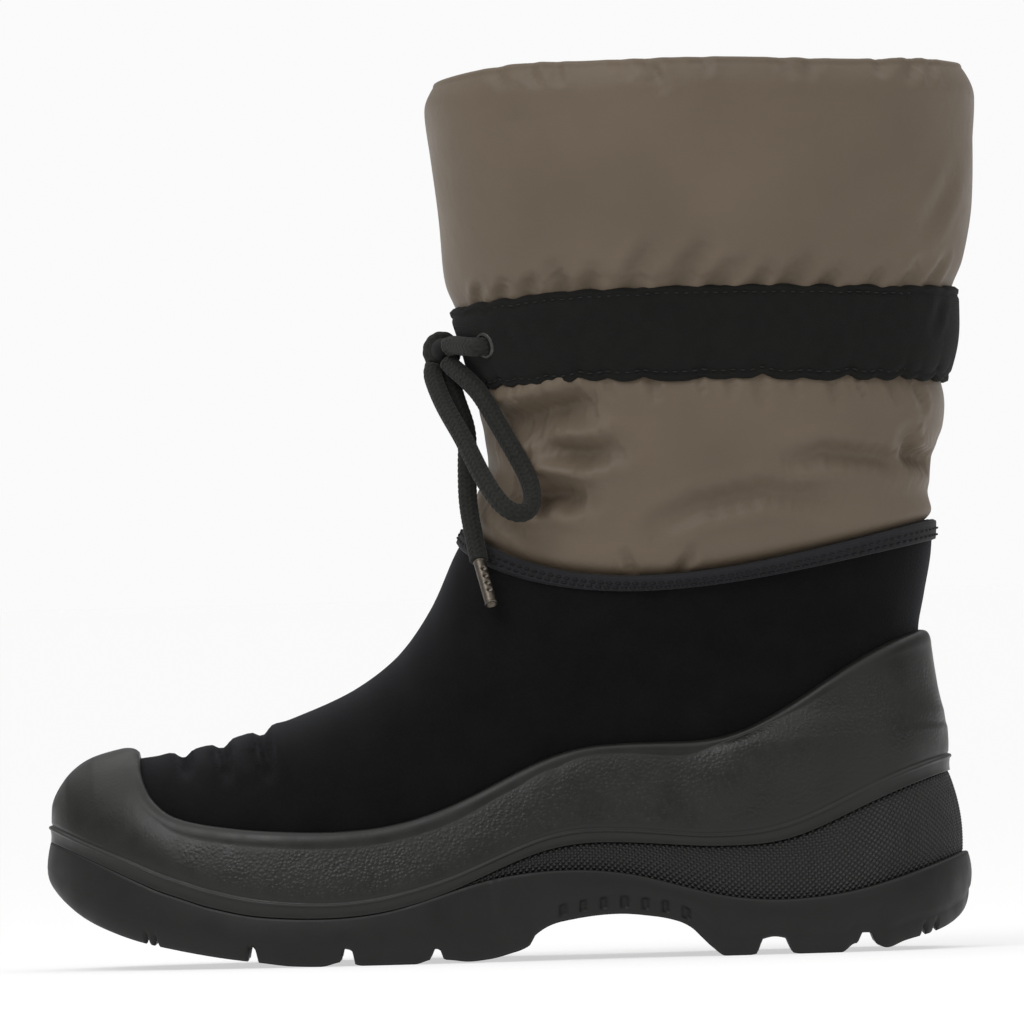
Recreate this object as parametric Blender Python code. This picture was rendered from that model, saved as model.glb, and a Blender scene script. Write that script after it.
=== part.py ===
"""Winter boot for the left foot, standing on its sole.

The toe points to -X, the outer side of the foot to -Y, and the floor is at the bottom of the boot.
The textile foot, shaft, band and cuff are strips of one surface, the form, which runs in closed rings
from the bottom edge of the foot to the top of the cuff. Shell, wedge and outsole follow its lowest ring.
"""
import math

import bmesh
import bpy
import numpy as np

# Driving sizes, in metres
SOLE_LENGTH = 0.285  # toe to heel along the floor
BALL_WIDTH = 0.103  # across the widest place of the sole
FOOT_HEIGHT = 0.134  # floor to the front of the upper's top edge
SHAFT_HEIGHT = 0.143  # from there to the front of the cuff's top edge

# Thicknesses and gaps, in metres
GAP = 0.0003  # between pieces that meet
UPPER_WALL = 0.0024
SHAFT_WALL = 0.0034
BAND_WALL = 0.0020
BINDING_WALL = 0.0011
BINDING_HEIGHT = 0.0062
RIM_WALL = 0.0037  # the shell at its rim
SHELL_FLOOR = 0.0021
INSOLE_THICKNESS = 0.0040
TOE_WELT = 0.0074  # the bead stands this far outside the form at the toe
HEEL_WELT = 0.0098

# Sole details, in metres
BEAD_DEPTH = 0.0009
GROOVE_DEPTH = 0.0006  # the fine groove above the bead
GROOVE_WIDTH = 0.0006
WALL_CURVE = 1.5  # above 1 the shell's wall stays full and turns up toward the rim late
RIM_ROUNDING = ((0.0030, 1.0), (0.0010, 0.92), (0.0, 0.55))  # distance below the rim, share of its wall
OUTSOLE_BELLY = 0.0019  # the outsole's side outside the bead, at the toe
HEEL_FLARE = 0.0062  # and at the heel
WEDGE_FLARE = 0.0042  # the wedge's lower edge outside the bead, at the heel
FLARE_FROM = 0.45  # share of the length where the flare begins
FLARE_OVER = 0.40  # share of the length over which it grows
EDGE_RISE = 0.0058  # height of the slanting lower edge of the outsole
EDGE_INSET = 0.0028
SIDE_FULLNESS = 0.84  # flare above and below the belly, as a share of the flare at the belly
BELLY_HEIGHT = 0.45  # share of the outsole's side
LIP = 0.0004  # the outsole's top edge outside the bead, ahead of the wedge
CHANNEL_DEPTH = 0.0030  # lengthwise channel between left and right lugs
CHANNEL_EDGES = (0.42, 0.58)  # its place as a share of the width
CHANNEL_RUNS = ((0.14, 0.50), (0.73, 0.95))  # where it runs, in sole lengths
RIB_COUNT = 8
RIB_PITCH = 0.0064
RIB_DEPTH = 0.0012
RIB_MIDDLE = 0.621  # middle of the row of ribs, in sole lengths
RIB_GROOVE = 0.36  # half width of the groove between two ribs, in pitches
RIB_SLANT = 0.0006  # run of its slanting walls

# Shaft and cuff, in metres
SHAFT_TURN_IN = 0.0008  # the shaft's lowest visible ring lies this far inside the form
SHAFT_SWELL = 0.008  # share of the form's height from the upper's edge to the shaft's full size
CUFF_PUFF = (  # share of the cuff's height, and how far the padding stands out
    (0.00, 0.0000),
    (0.10, 0.0006),
    (0.30, 0.0012),
    (0.50, 0.0012),
    (0.75, 0.0012),
    (0.93, 0.0006),
    (1.00, -0.0008),
)
CUFF_EDGE_WALL = 0.0024  # the cuff's wall at its rounded top edge

# Drawcord, in metres
CORD_DIAMETER = 0.0050
EYELET_RADIUS = 0.0042
EYELET_THICKNESS = 0.0010
AGLET_LENGTH = 0.0160
AGLET_RADIUS = 0.0019

# How finely the solids are cut
SIDE_STATIONS = 25  # along each side, from front to back, crowded at toe and heel
ACROSS = (0.25, 0.5, 0.75)  # points across the floors of shell, wedge and outsole
TREAD_ACROSS = (0.2, 0.40, 0.45, 0.55, 0.60, 0.8)  # points across the tread, dense at the channel
FOOT_SHARES = (0, 0.22, 0.42, 0.60, 0.76, 0.90, 1)  # rings between the feather and the shell's rim
INSTEP_SHARES = (0.12, 0.27, 0.44, 0.62, 0.81)  # rings between that rim and the binding
NEAREST_STATIONS = 0.0015  # stations nearer than this to an edge of groove or rib are left out
CORD_STEP = 2.2  # distance of a cord's points, in diameters
BAR_STEP = 1.2
TUBE_SIDES = 16
KNOT_SIDES = 20
KNOT_RINGS = 9

# Rings of the form. Front and back points: x in sole lengths, z in foot heights up to 1 and in shaft
# heights beyond. bed: how far the ring follows the footbed. dip: height of its middle over the straight
# line, in foot heights. oval: half width of the shaft, in ball widths. form: 0 foot, 1 shaft.
RING_COLUMNS = ("front_x", "front_z", "back_x", "back_z", "bed", "dip", "oval", "form")
RINGS = {
    "feather": (0.033, 0.201, 0.951, 0.310, 1.00, 0.000, 0.350, 0.00),
    "toe_low": (0.021, 0.284, 0.957, 0.373, 0.85, 0.000, 0.350, 0.00),
    "toe_mid": (0.021, 0.366, 0.958, 0.425, 0.55, 0.000, 0.350, 0.00),
    "toe_high": (0.035, 0.431, 0.959, 0.463, 0.30, 0.000, 0.350, 0.00),
    "toe_top": (0.061, 0.470, 0.959, 0.489, 0.15, 0.000, 0.350, 0.00),
    "cap_edge": (0.105, 0.488, 0.958, 0.507, 0.05, 0.000, 0.350, 0.00),
    "vamp_1": (0.154, 0.497, 0.958, 0.530, 0.00, 0.000, 0.350, 0.00),
    "vamp_2": (0.218, 0.528, 0.957, 0.560, 0.00, 0.000, 0.350, 0.00),
    "vamp_3": (0.281, 0.574, 0.956, 0.604, 0.00, 0.000, 0.350, 0.00),
    "vamp_4": (0.340, 0.630, 0.956, 0.657, 0.00, -0.007, 0.350, 0.05),
    "instep_1": (0.389, 0.708, 0.956, 0.731, 0.00, -0.022, 0.350, 0.15),
    "instep_2": (0.426, 0.818, 0.963, 0.821, 0.00, -0.060, 0.359, 0.40),
    "instep_3": (0.453, 0.938, 0.972, 0.925, 0.00, -0.101, 0.369, 0.70),
    "upper_top": (0.470, 1.000, 0.974, 0.989, 0.00, -0.119, 0.379, 0.88),
    "shaft_low": (0.482, 1.063, 0.966, 1.056, 0.00, -0.067, 0.388, 1.00),
    "shaft_1": (0.498, 1.133, 0.968, 1.126, 0.00, -0.030, 0.403, 1.00),
    "shaft_2": (0.496, 1.203, 0.983, 1.196, 0.00, -0.007, 0.417, 1.00),
    "band_low": (0.483, 1.291, 0.991, 1.291, 0.00, 0.019, 0.437, 1.00),
    "band_mid": (0.472, 1.378, 1.001, 1.392, 0.00, 0.026, 0.447, 1.00),
    "band_top": (0.461, 1.471, 1.006, 1.491, 0.00, 0.030, 0.461, 1.00),
    "cuff_low": (0.453, 1.531, 1.014, 1.552, 0.00, 0.019, 0.490, 1.00),
    "cuff_1": (0.447, 1.657, 1.024, 1.678, 0.00, 0.007, 0.524, 1.00),
    "cuff_2": (0.438, 1.811, 1.027, 1.818, 0.00, 0.015, 0.544, 1.00),
    "cuff_3": (0.434, 1.902, 1.029, 1.899, 0.00, 0.030, 0.544, 1.00),
    "cuff_top": (0.440, 1.962, 1.021, 1.958, 0.00, 0.041, 0.529, 1.00),
}
DIP_PEAK = 0.68  # exponent that moves the deepest place of a dip toward the front
OVAL_POWER = 2.25  # 2 makes the shaft an ellipse, more squares it
DOME_POWER = 2.2  # the same for the cross-sections of the foot
WIDEST_HEIGHT = 0.25  # in foot heights, where the foot's sections are widest
THROAT_SLOPE = 3.0  # rise of the line that closes the foot's sections behind the throat

# Plan of the foot. along: share from toe to heel. half_width and centre in ball widths, with the
# centre positive toward the big toe. bed: height of the footbed in foot heights.
PLAN_COLUMNS = ("along", "half_width", "centre", "bed")
PLAN = (
    (0.03, 0.190, 0.063, 0.183),
    (0.15, 0.378, 0.049, 0.159),
    (0.30, 0.432, 0.010, 0.148),
    (0.42, 0.415, -0.015, 0.185),
    (0.52, 0.376, -0.027, 0.239),
    (0.65, 0.331, -0.029, 0.263),
    (0.85, 0.302, -0.005, 0.282),
    (0.97, 0.182, 0.000, 0.304),
)

# Lines along the side of the shell and sole, x in sole lengths and heights in foot heights
LINE_COLUMNS = ("x", "rim", "bead_top", "bead_low", "wedge_low")
LINES = (
    (0.000, 0.634, 0.347, 0.306, 0.306),
    (0.042, 0.597, 0.303, 0.266, 0.266),
    (0.102, 0.537, 0.246, 0.204, 0.204),
    (0.109, 0.444, 0.239, 0.197, 0.197),
    (0.121, 0.388, 0.227, 0.185, 0.185),
    (0.147, 0.346, 0.206, 0.165, 0.165),
    (0.182, 0.328, 0.181, 0.140, 0.140),
    (0.249, 0.312, 0.151, 0.113, 0.113),
    (0.319, 0.307, 0.143, 0.109, 0.109),
    (0.386, 0.322, 0.164, 0.128, 0.128),
    (0.456, 0.373, 0.209, 0.177, 0.177),
    (0.519, 0.440, 0.269, 0.237, 0.204),
    (0.579, 0.488, 0.303, 0.269, 0.209),
    (0.653, 0.496, 0.296, 0.264, 0.188),
    (0.723, 0.494, 0.279, 0.251, 0.143),
    (0.793, 0.549, 0.291, 0.254, 0.125),
    (0.867, 0.649, 0.354, 0.313, 0.138),
    (0.940, 0.730, 0.424, 0.381, 0.186),
    (1.000, 0.754, 0.459, 0.418, 0.234),
)
WEDGE_START = 0.488  # the wedge's thin front end, in sole lengths

# Underside of the outsole without its grooves, x in sole lengths and height in foot heights
UNDERSIDE = (
    (0.000, 0.246),
    (0.003, 0.224),
    (0.014, 0.184),
    (0.026, 0.155),
    (0.042, 0.127),
    (0.067, 0.098),
    (0.102, 0.068),
    (0.158, 0.037),
    (0.193, 0.022),
    (0.249, 0.004),
    (0.270, 0.000),
    (0.502, 0.000),
    (0.524, 0.034),
    (0.533, 0.067),
    (0.560, 0.089),
    (0.621, 0.103),
    (0.660, 0.089),
    (0.686, 0.072),
    (0.700, 0.049),
    (0.712, 0.009),
    (0.723, 0.000),
    (0.884, 0.000),
    (0.912, 0.007),
    (0.930, 0.020),
    (0.968, 0.043),
    (0.989, 0.072),
    (1.004, 0.112),
)

SHARP_BENDS = (0.524, 0.533, 0.700, 0.712)  # bends of the underside that get a station of their own

# Grooves across the tread: middle and width in sole lengths, depth in foot heights
GROOVE_SLANT = 0.003  # run of a groove's slanting wall, in sole lengths
GROOVE_ROOF = 0.0008  # least height of the side above a groove, in metres
GROOVES = (
    (0.115, 0.010, 0.016),
    (0.222, 0.015, 0.022),
    (0.329, 0.016, 0.030),
    (0.422, 0.014, 0.022),
    (0.792, 0.017, 0.033),
    (0.889, 0.015, 0.030),
    (0.943, 0.010, 0.018),
)

# Routes of the near half of the bow, from the middle of the knot: x and y in millimetres, z in
# shares of the shaft's height
LOOP_ROUTE = (
    (5.9, -14.6, -0.052),
    (11.4, -20.9, -0.094),
    (17.0, -26.0, -0.164),
    (21.8, -30.5, -0.226),
    (25.9, -34.4, -0.285),
    (26.8, -39.2, -0.334),
    (23.6, -43.4, -0.358),
    (18.4, -43.4, -0.344),
    (12.4, -37.4, -0.285),
    (6.0, -26.5, -0.192),
    (0.0, -15.2, -0.112),
)
END_ROUTE = (
    (4.0, -7.4, -0.105),
    (7.0, -11.6, -0.175),
    (6.8, -14.5, -0.252),
    (6.9, -18.6, -0.329),
    (8.4, -24.4, -0.402),
    (9.8, -29.0, -0.455),
)
AGLET_LEAN = (3.6, -8.4, -14.2)  # which way the metal tip points on from the end of the cord
KNOT_AHEAD = 0.0072  # middle of the knot in front of the band
KNOT_SIZE = (0.0056, 0.0105, 0.0058)  # half sizes
KNOT_POLE = 80  # degrees from the knot's middle to its flat ends
KNOT_LEAVES = {  # which way each cord leaves the knot, on the near side
    "bar": (0.30, -0.93, 0.20),
    "loop": (0.30, -0.80, -0.52),
    "back": (-0.42, -0.52, -0.74),
    "end": (0.26, -0.27, -0.93),
}
END_RUN = 0.0022  # straight run at each end of a cord
CORD_HEIGHT = 0.53  # height of eyelets and knot, as a share of the band's height
EYELET_ALONG = 0.048  # place of the eyelets, as a share from the band's front to its back
BAR_STANDS_OUT = 0.0036  # straight run of a bar out of its eyelet


def height(share):
    """Foot heights up to one, then shaft heights."""
    return FOOT_HEIGHT * np.minimum(share, 1) + SHAFT_HEIGHT * np.maximum(np.subtract(share, 1), 0)


def smooth(knots, values, at):
    """A curve through the values without overshoot (monotone cubic)."""
    knots, values = np.asarray(knots, float), np.asarray(values, float)
    at = np.clip(at, knots[0], knots[-1])
    step = np.diff(knots)
    slope = np.diff(values) / step
    tangent = np.zeros_like(values)
    same_way = slope[:-1] * slope[1:] > 0
    weight_a, weight_b = 2 * step[1:] + step[:-1], step[1:] + 2 * step[:-1]
    divisor_a = np.where(same_way, slope[:-1], 1.0)
    divisor_b = np.where(same_way, slope[1:], 1.0)
    inner = (weight_a + weight_b) / (weight_a / divisor_a + weight_b / divisor_b)
    tangent[1:-1] = np.where(same_way, inner, 0.0)
    tangent[0], tangent[-1] = slope[0], slope[-1]
    i = np.clip(np.searchsorted(knots, at, side="right") - 1, 0, len(step) - 1)
    t = (at - knots[i]) / step[i]
    rise = values[i] * (1 + 2 * t) * (1 - t) ** 2 + values[i + 1] * t * t * (3 - 2 * t)
    return rise + step[i] * (tangent[i] * t * (1 - t) ** 2 - tangent[i + 1] * t * t * (1 - t))


RING_TABLE = {c: np.array([row[i] for row in RINGS.values()]) for i, c in enumerate(RING_COLUMNS)}
FRONT = np.stack([RING_TABLE["front_x"] * SOLE_LENGTH, height(RING_TABLE["front_z"])], axis=1)
BACK = np.stack([RING_TABLE["back_x"] * SOLE_LENGTH, height(RING_TABLE["back_z"])], axis=1)
CLIMB = np.linalg.norm(np.diff(FRONT, axis=0), axis=1) + np.linalg.norm(np.diff(BACK, axis=0), axis=1)
LEVEL = np.concatenate([[0], np.cumsum(CLIMB)]) / CLIMB.sum()
LEVEL_OF = dict(zip(RINGS, LEVEL))
TOE_RING = list(RINGS).index("toe_mid")  # the foremost ring
THROAT_RING = list(RINGS).index("upper_top")
PLAN_TABLE = {c: np.array([row[i] for row in PLAN]) for i, c in enumerate(PLAN_COLUMNS)}
LINE_TABLE = {c: np.array([row[i] for row in LINES]) for i, c in enumerate(LINE_COLUMNS)}
UNDER_X, UNDER_Z = np.array(UNDERSIDE).T


def ring_value(column, level):
    return smooth(LEVEL, RING_TABLE[column], level)


def plan_value(column, along):
    return smooth(PLAN_TABLE["along"], PLAN_TABLE[column], along)


def line_height(column, x):
    return FOOT_HEIGHT * smooth(LINE_TABLE["x"], LINE_TABLE[column], x / SOLE_LENGTH)


def foot_half_width(along):
    """Half width of the foot's plan, round at toe and heel like the square root it is scaled by."""
    table = PLAN_TABLE["along"]
    fullness = PLAN_TABLE["half_width"] / np.sqrt(table * (1 - table))
    along = np.clip(along, 0, 1)
    return BALL_WIDTH * smooth(table, fullness, along) * np.sqrt(along * (1 - along))


def around(turn):
    """Share from front to back, and the side (-1 outer, +1 inner), at each turn from 0 to 1."""
    turn = np.asarray(turn, float)
    half = 1 - np.abs(1 - 2 * turn)
    return (1 - np.cos(math.pi * half)) / 2, np.where(turn <= 0.5, -1.0, 1.0)


def form(turn, level):
    """Points of the form, the outside of textile, shaft and cuff."""
    turn, level = np.broadcast_arrays(np.asarray(turn, float), np.asarray(level, float))
    share, side = around(turn)
    front_x = smooth(LEVEL, FRONT[:, 0], level)
    front_z = smooth(LEVEL, FRONT[:, 1], level)
    back_x = smooth(LEVEL, BACK[:, 0], level)
    back_z = smooth(LEVEL, BACK[:, 1], level)
    x = front_x + share * (back_x - front_x)
    toe = slice(0, TOE_RING + 1)
    toe_end = smooth(LEVEL[toe], FRONT[toe, 0], np.minimum(level, LEVEL[TOE_RING]))
    along = np.clip((x - toe_end) / (back_x - toe_end), 0, 1)
    bed = FOOT_HEIGHT * plan_value("bed", along)
    straight = FRONT[0, 1] + share * (BACK[0, 1] - FRONT[0, 1])
    dip = ring_value("dip", level) * FOOT_HEIGHT * np.sin(math.pi * share**DIP_PEAK)
    z = front_z + share * (back_z - front_z) + dip + ring_value("bed", level) * (bed - straight)
    vamp = slice(TOE_RING, THROAT_RING + 1)
    roof = np.interp(x, FRONT[vamp, 0], FRONT[vamp, 1])
    roof = roof + THROAT_SLOPE * np.maximum(x - FRONT[THROAT_RING, 0], 0)
    widest = WIDEST_HEIGHT * FOOT_HEIGHT
    rise = np.clip((z - widest) / np.maximum(roof - widest, 1e-6), 0, 1)
    dome = np.maximum(1 - rise**DOME_POWER, 0) ** (1 / DOME_POWER)
    shaft = (1 - np.abs(2 * share - 1) ** OVAL_POWER) ** (1 / OVAL_POWER)
    oval = BALL_WIDTH * ring_value("oval", level) * shaft
    shaft_share = ring_value("form", level)
    width = (1 - shaft_share) * foot_half_width(along) * dome + shaft_share * oval
    y = side * width + (1 - shaft_share) * BALL_WIDTH * plan_value("centre", along)
    return np.stack([x, y, z], axis=-1)


def outward(turn, level):
    """Unit normals of the form, pointing away from the foot."""
    small = 1e-4
    turn, level = np.broadcast_arrays(np.asarray(turn, float), np.asarray(level, float))
    low, high = np.clip(level - small, 0, 1), np.clip(level + small, 0, 1)
    along = form((turn + small) % 1, level) - form((turn - small) % 1, level)
    up = form(turn, high) - form(turn, low)
    normal = np.cross(along, up)
    size = np.linalg.norm(normal, axis=-1, keepdims=True)
    return normal / np.maximum(size, 1e-12)


def offset(turn, level, distance):
    return form(turn, level) + outward(turn, level) * np.asarray(distance)[..., None]


def step_back(turn, level, distance):
    """The level that lies this far below a level, measured on the form."""
    small = 1e-3
    speed = np.linalg.norm(form(turn, level) - form(turn, level - small), axis=-1) / small
    return level - distance / speed


def level_at(turn, test):
    """The first level of each column where test(points) stops being negative."""
    levels = np.linspace(0, LEVEL_OF["upper_top"], 400)
    points = form(np.asarray(turn)[:, None], levels[None, :])
    value = test(points)
    past = np.argmax(value >= 0, axis=1)
    before = np.maximum(past - 1, 0)
    rows = np.arange(len(past))
    a, b = value[rows, before], value[rows, past]
    share = np.where(past > 0, -a / np.where(past > 0, b - a, 1), 0)
    return levels[before] + share * (levels[past] - levels[before])


TURNS = np.arange(2 * SIDE_STATIONS) / (2 * SIDE_STATIONS)
RIM_LEVEL = level_at(TURNS, lambda p: p[..., 2] - line_height("rim", p[..., 0]))
BEAD_LEVEL = level_at(TURNS, lambda p: p[..., 2] - line_height("bead_top", p[..., 0]))


def feather(turn, spread):
    """The form's lowest ring, moved outward in plan by a distance."""
    turn = np.asarray(turn, float)
    points = form(turn, 0)
    small = 1e-4
    along = form((turn + small) % 1, 0) - form((turn - small) % 1, 0)
    flat = np.stack([along[:, 1], -along[:, 0], np.zeros(len(turn))], axis=1)
    flat /= np.linalg.norm(flat, axis=1, keepdims=True)
    return points + flat * np.broadcast_to(spread, turn.shape)[:, None]


def welt(turn):
    share, _ = around(turn)
    return TOE_WELT + (HEEL_WELT - TOE_WELT) * share**2


def at_height(points, z):
    return np.concatenate([points[:, :2], np.broadcast_to(z, len(points))[:, None]], axis=1)


def shell_seat():
    """Rings under the shell: the outer edge of its bead, and the edge of its floor."""
    outer = feather(TURNS, welt(TURNS) - GROOVE_DEPTH)
    inner = feather(TURNS, 0)
    outer = at_height(outer, line_height("bead_low", outer[:, 0]))
    return outer, at_height(inner, inner[:, 2] - GAP - SHELL_FLOOR)


def wedge_seat():
    """Rings under the wedge: its outer edge, and a ring below the edge of the shell's floor."""
    share, _ = around(TURNS)
    flare = WEDGE_FLARE * np.clip((share - FLARE_FROM) / FLARE_OVER, 0, 1)
    outer, inner = feather(TURNS, welt(TURNS) + flare), feather(TURNS, 0)
    return [at_height(ring, line_height("wedge_low", ring[:, 0])) for ring in (outer, inner)]


def wedge_first():
    """Number of the station where the wedge begins, on the outer side."""
    side = TURNS[: SIDE_STATIONS + 1]
    return int(np.argmin(np.abs(feather(side, welt(side))[:, 0] - WEDGE_START * SOLE_LENGTH)))


class Skin:
    """Points and faces of one closed solid."""

    def __init__(self):
        self.points = []
        self.faces = []

    def ring(self, points):
        start = len(self.points)
        self.points.extend(np.asarray(points).tolist())
        return list(range(start, start + len(points)))

    def wall(self, low, high):
        """Quads between two closed rings."""
        count = len(low)
        for i in range(count):
            j = (i + 1) % count
            self.faces.append((low[i], low[j], high[j], high[i]))

    def walls(self, rings):
        """Walls between rings from low to high, cut the same way on both sides of a gap."""
        for low, high in zip(rings, rings[1:]):
            self.wall(low, high)

    def hollow(self, outer, inner):
        """A wall with an outside, an inside, a top edge and a bottom edge."""
        self.walls(outer)
        self.walls(inner)
        self.wall(outer[-1], inner[-1])
        self.wall(inner[0], outer[0])

    def zip_up(self, low, low_turns, high, high_turns):
        """Triangles between two closed rings with different stations."""
        i, j = 0, 0
        low_end, high_end = np.append(low_turns[1:], 1), np.append(high_turns[1:], 1)
        while i < len(low) or j < len(high):
            a, b = low[i % len(low)], high[j % len(high)]
            if j == len(high) or (i < len(low) and low_end[i] <= high_end[j]):
                i += 1
                self.faces.append((a, low[i % len(low)], b))
            else:
                j += 1
                self.faces.append((a, high[j % len(high)], b))

    def cap(self, ring, shares, height_of, flip):
        """A ladder of quads across a ring, with heights from (x, share across)."""
        half = len(ring) // 2
        rows = []
        for i in range(half + 1):
            near, far = np.array(self.points[ring[i]]), np.array(self.points[ring[-i]])
            if i in (0, half):
                rows.append([ring[i]] * (len(shares) + 2))
                continue
            across = [near + (far - near) * s for s in shares]
            inner = [(p[0], p[1], height_of(p[0], s, p[2])) for p, s in zip(across, shares)]
            rows.append([ring[i], *self.ring(inner), ring[-i]])
        for a, b in zip(rows, rows[1:]):
            for k in range(len(a) - 1):
                quad = [a[k], a[k + 1], b[k + 1], b[k]]
                corners = list(dict.fromkeys(quad))
                if len(corners) > 2:
                    self.faces.append(tuple(corners[::-1] if flip else corners))

    def ladder(self, ring, shares):
        """Quads across a ring that is open at its front, and the points along its front edge."""
        last = len(ring) - 1
        rows = []
        for i in range(last // 2):
            near, far = np.array(self.points[ring[i]]), np.array(self.points[ring[last - i]])
            inner = [near + (far - near) * s for s in shares]
            rows.append([ring[i], *self.ring(inner), ring[last - i]])
        rows.append([ring[last // 2]] * len(rows[0]))
        for a, b in zip(rows, rows[1:]):
            for k in range(len(a) - 1):
                corners = list(dict.fromkeys([a[k], a[k + 1], b[k + 1], b[k]]))
                self.faces.append(tuple(corners))
        return rows[0]

    def build(self, name, material, smooth_angle=math.radians(35)):
        mesh = bpy.data.meshes.new(name)
        mesh.from_pydata(self.points, [], self.faces)
        edit = bmesh.new()
        edit.from_mesh(mesh)
        bmesh.ops.remove_doubles(edit, verts=edit.verts, dist=1e-7)
        bmesh.ops.triangulate(edit, faces=edit.faces, quad_method="FIXED")
        bmesh.ops.recalc_face_normals(edit, faces=edit.faces)
        edit.to_mesh(mesh)
        edit.free()
        mesh.shade_smooth()
        mesh.set_sharp_from_angle(angle=smooth_angle)
        return place(name, mesh, material)


def place(name, data, material):
    piece = bpy.data.objects.new(name, data)
    bpy.context.scene.collection.objects.link(piece)
    data.materials.append(material)
    return piece


def make_material(name, colour, roughness, metallic=0.0):
    material = bpy.data.materials.new(name)
    material.use_nodes = True
    shader = material.node_tree.nodes["Principled BSDF"]
    shader.inputs["Base Color"].default_value = (*colour, 1.0)
    shader.inputs["Roughness"].default_value = roughness
    shader.inputs["Metallic"].default_value = metallic
    material.diffuse_color = (*colour, 1.0)
    return material


def hollow_strip(name, material, levels, inner_levels, outside, inside):
    """A wall between two offsets of the form, closed at its top and bottom edges.

    levels and inner_levels hold a row of levels for each ring, from bottom to top.
    """
    skin = Skin()
    outer = [skin.ring(inset(row, -outside)) for row in levels]
    inner = [skin.ring(inset(row, -inside)) for row in inner_levels]
    skin.hollow(outer, inner)
    return skin.build(name, material)


def inset(row, distance):
    """A ring of points this far inside the form, at a row of levels."""
    return offset(TURNS, row, np.full(len(TURNS), -distance))


def between(low, high, shares):
    """Rows of levels from low to high, which may differ from column to column."""
    low, high = np.broadcast_arrays(low, high)
    return [low + (high - low) * share for share in shares]


def tape_rows():
    """Levels under the lower edge, middle and upper edge of the binding."""
    top = np.full(len(TURNS), LEVEL_OF["upper_top"])
    return between(step_back(TURNS, top, BINDING_HEIGHT), top, (0, 0.5, 1))


def upper(material):
    """The textile foot: a wall that follows the rim of the shell, then rises to its top edge."""
    tape = tape_rows()
    rows = between(0, RIM_LEVEL, FOOT_SHARES) + between(RIM_LEVEL, tape[0], INSTEP_SHARES) + tape
    skin = Skin()
    outer = [skin.ring(form(TURNS, row)) for row in rows]
    inner = [skin.ring(inset(row, UPPER_WALL)) for row in rows[2::2]]
    floor = feather(TURNS, -UPPER_WALL)
    inner.insert(0, skin.ring(at_height(floor, form(TURNS, 0)[:, 2])))
    skin.hollow(outer, inner)
    return skin.build("upper", material)


def binding(material):
    """Tape round the upper's top edge, on its outside."""
    rows = tape_rows()
    return hollow_strip("binding", material, rows, rows, GAP + BINDING_WALL, GAP)


def shaft(material):
    """Lower shaft: it starts inside the upper's top edge and bulges out above it."""
    hidden = -(UPPER_WALL + GAP)
    edge = np.full(len(TURNS), LEVEL_OF["upper_top"])
    top = step_back(TURNS, LEVEL_OF["band_low"], GAP)
    rows = [tape_rows()[0], edge] + between(edge + SHAFT_SWELL, top, (0, 0.25, 0.5, 0.75, 1))
    depths = [hidden, hidden, -SHAFT_TURN_IN, 0, 0, 0, 0]
    skin = Skin()
    outer = [skin.ring(inset(row, -depth)) for row, depth in zip(rows, depths)]
    inner_depths = {0: hidden, 1: hidden, 4: 0, 6: 0}
    inner = [skin.ring(inset(rows[i], SHAFT_WALL - depth)) for i, depth in inner_depths.items()]
    skin.hollow(outer, inner)
    return skin.build("shaft", material)


def band(material):
    """The tunnel for the drawcord, a little smaller than the shaft."""
    rows = between(LEVEL_OF["band_low"], LEVEL_OF["band_top"], (0, 0.33, 0.66, 1))
    return hollow_strip("drawcord_band", material, rows, rows[::3], 0.0, -BAND_WALL)


def cuff(material):
    """Padded cuff with a rounded top edge."""
    bottom = step_back(TURNS, LEVEL_OF["band_top"], -GAP)
    shares, puffs = zip(*CUFF_PUFF)
    rows = between(bottom, LEVEL_OF["cuff_top"], shares)
    skin = Skin()
    outer = [skin.ring(inset(row, -puff)) for row, puff in zip(rows, puffs)]
    walls = {0: SHAFT_WALL, 3: SHAFT_WALL, 5: SHAFT_WALL, 6: CUFF_EDGE_WALL}
    inner = [skin.ring(inset(rows[i], wall)) for i, wall in walls.items()]
    skin.hollow(outer, inner)
    return skin.build("cuff", material)


BEAD_PROFILE = ((0.22, BEAD_DEPTH), (0.62, BEAD_DEPTH), (0.90, -GROOVE_DEPTH))  # share up, depth outward


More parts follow.
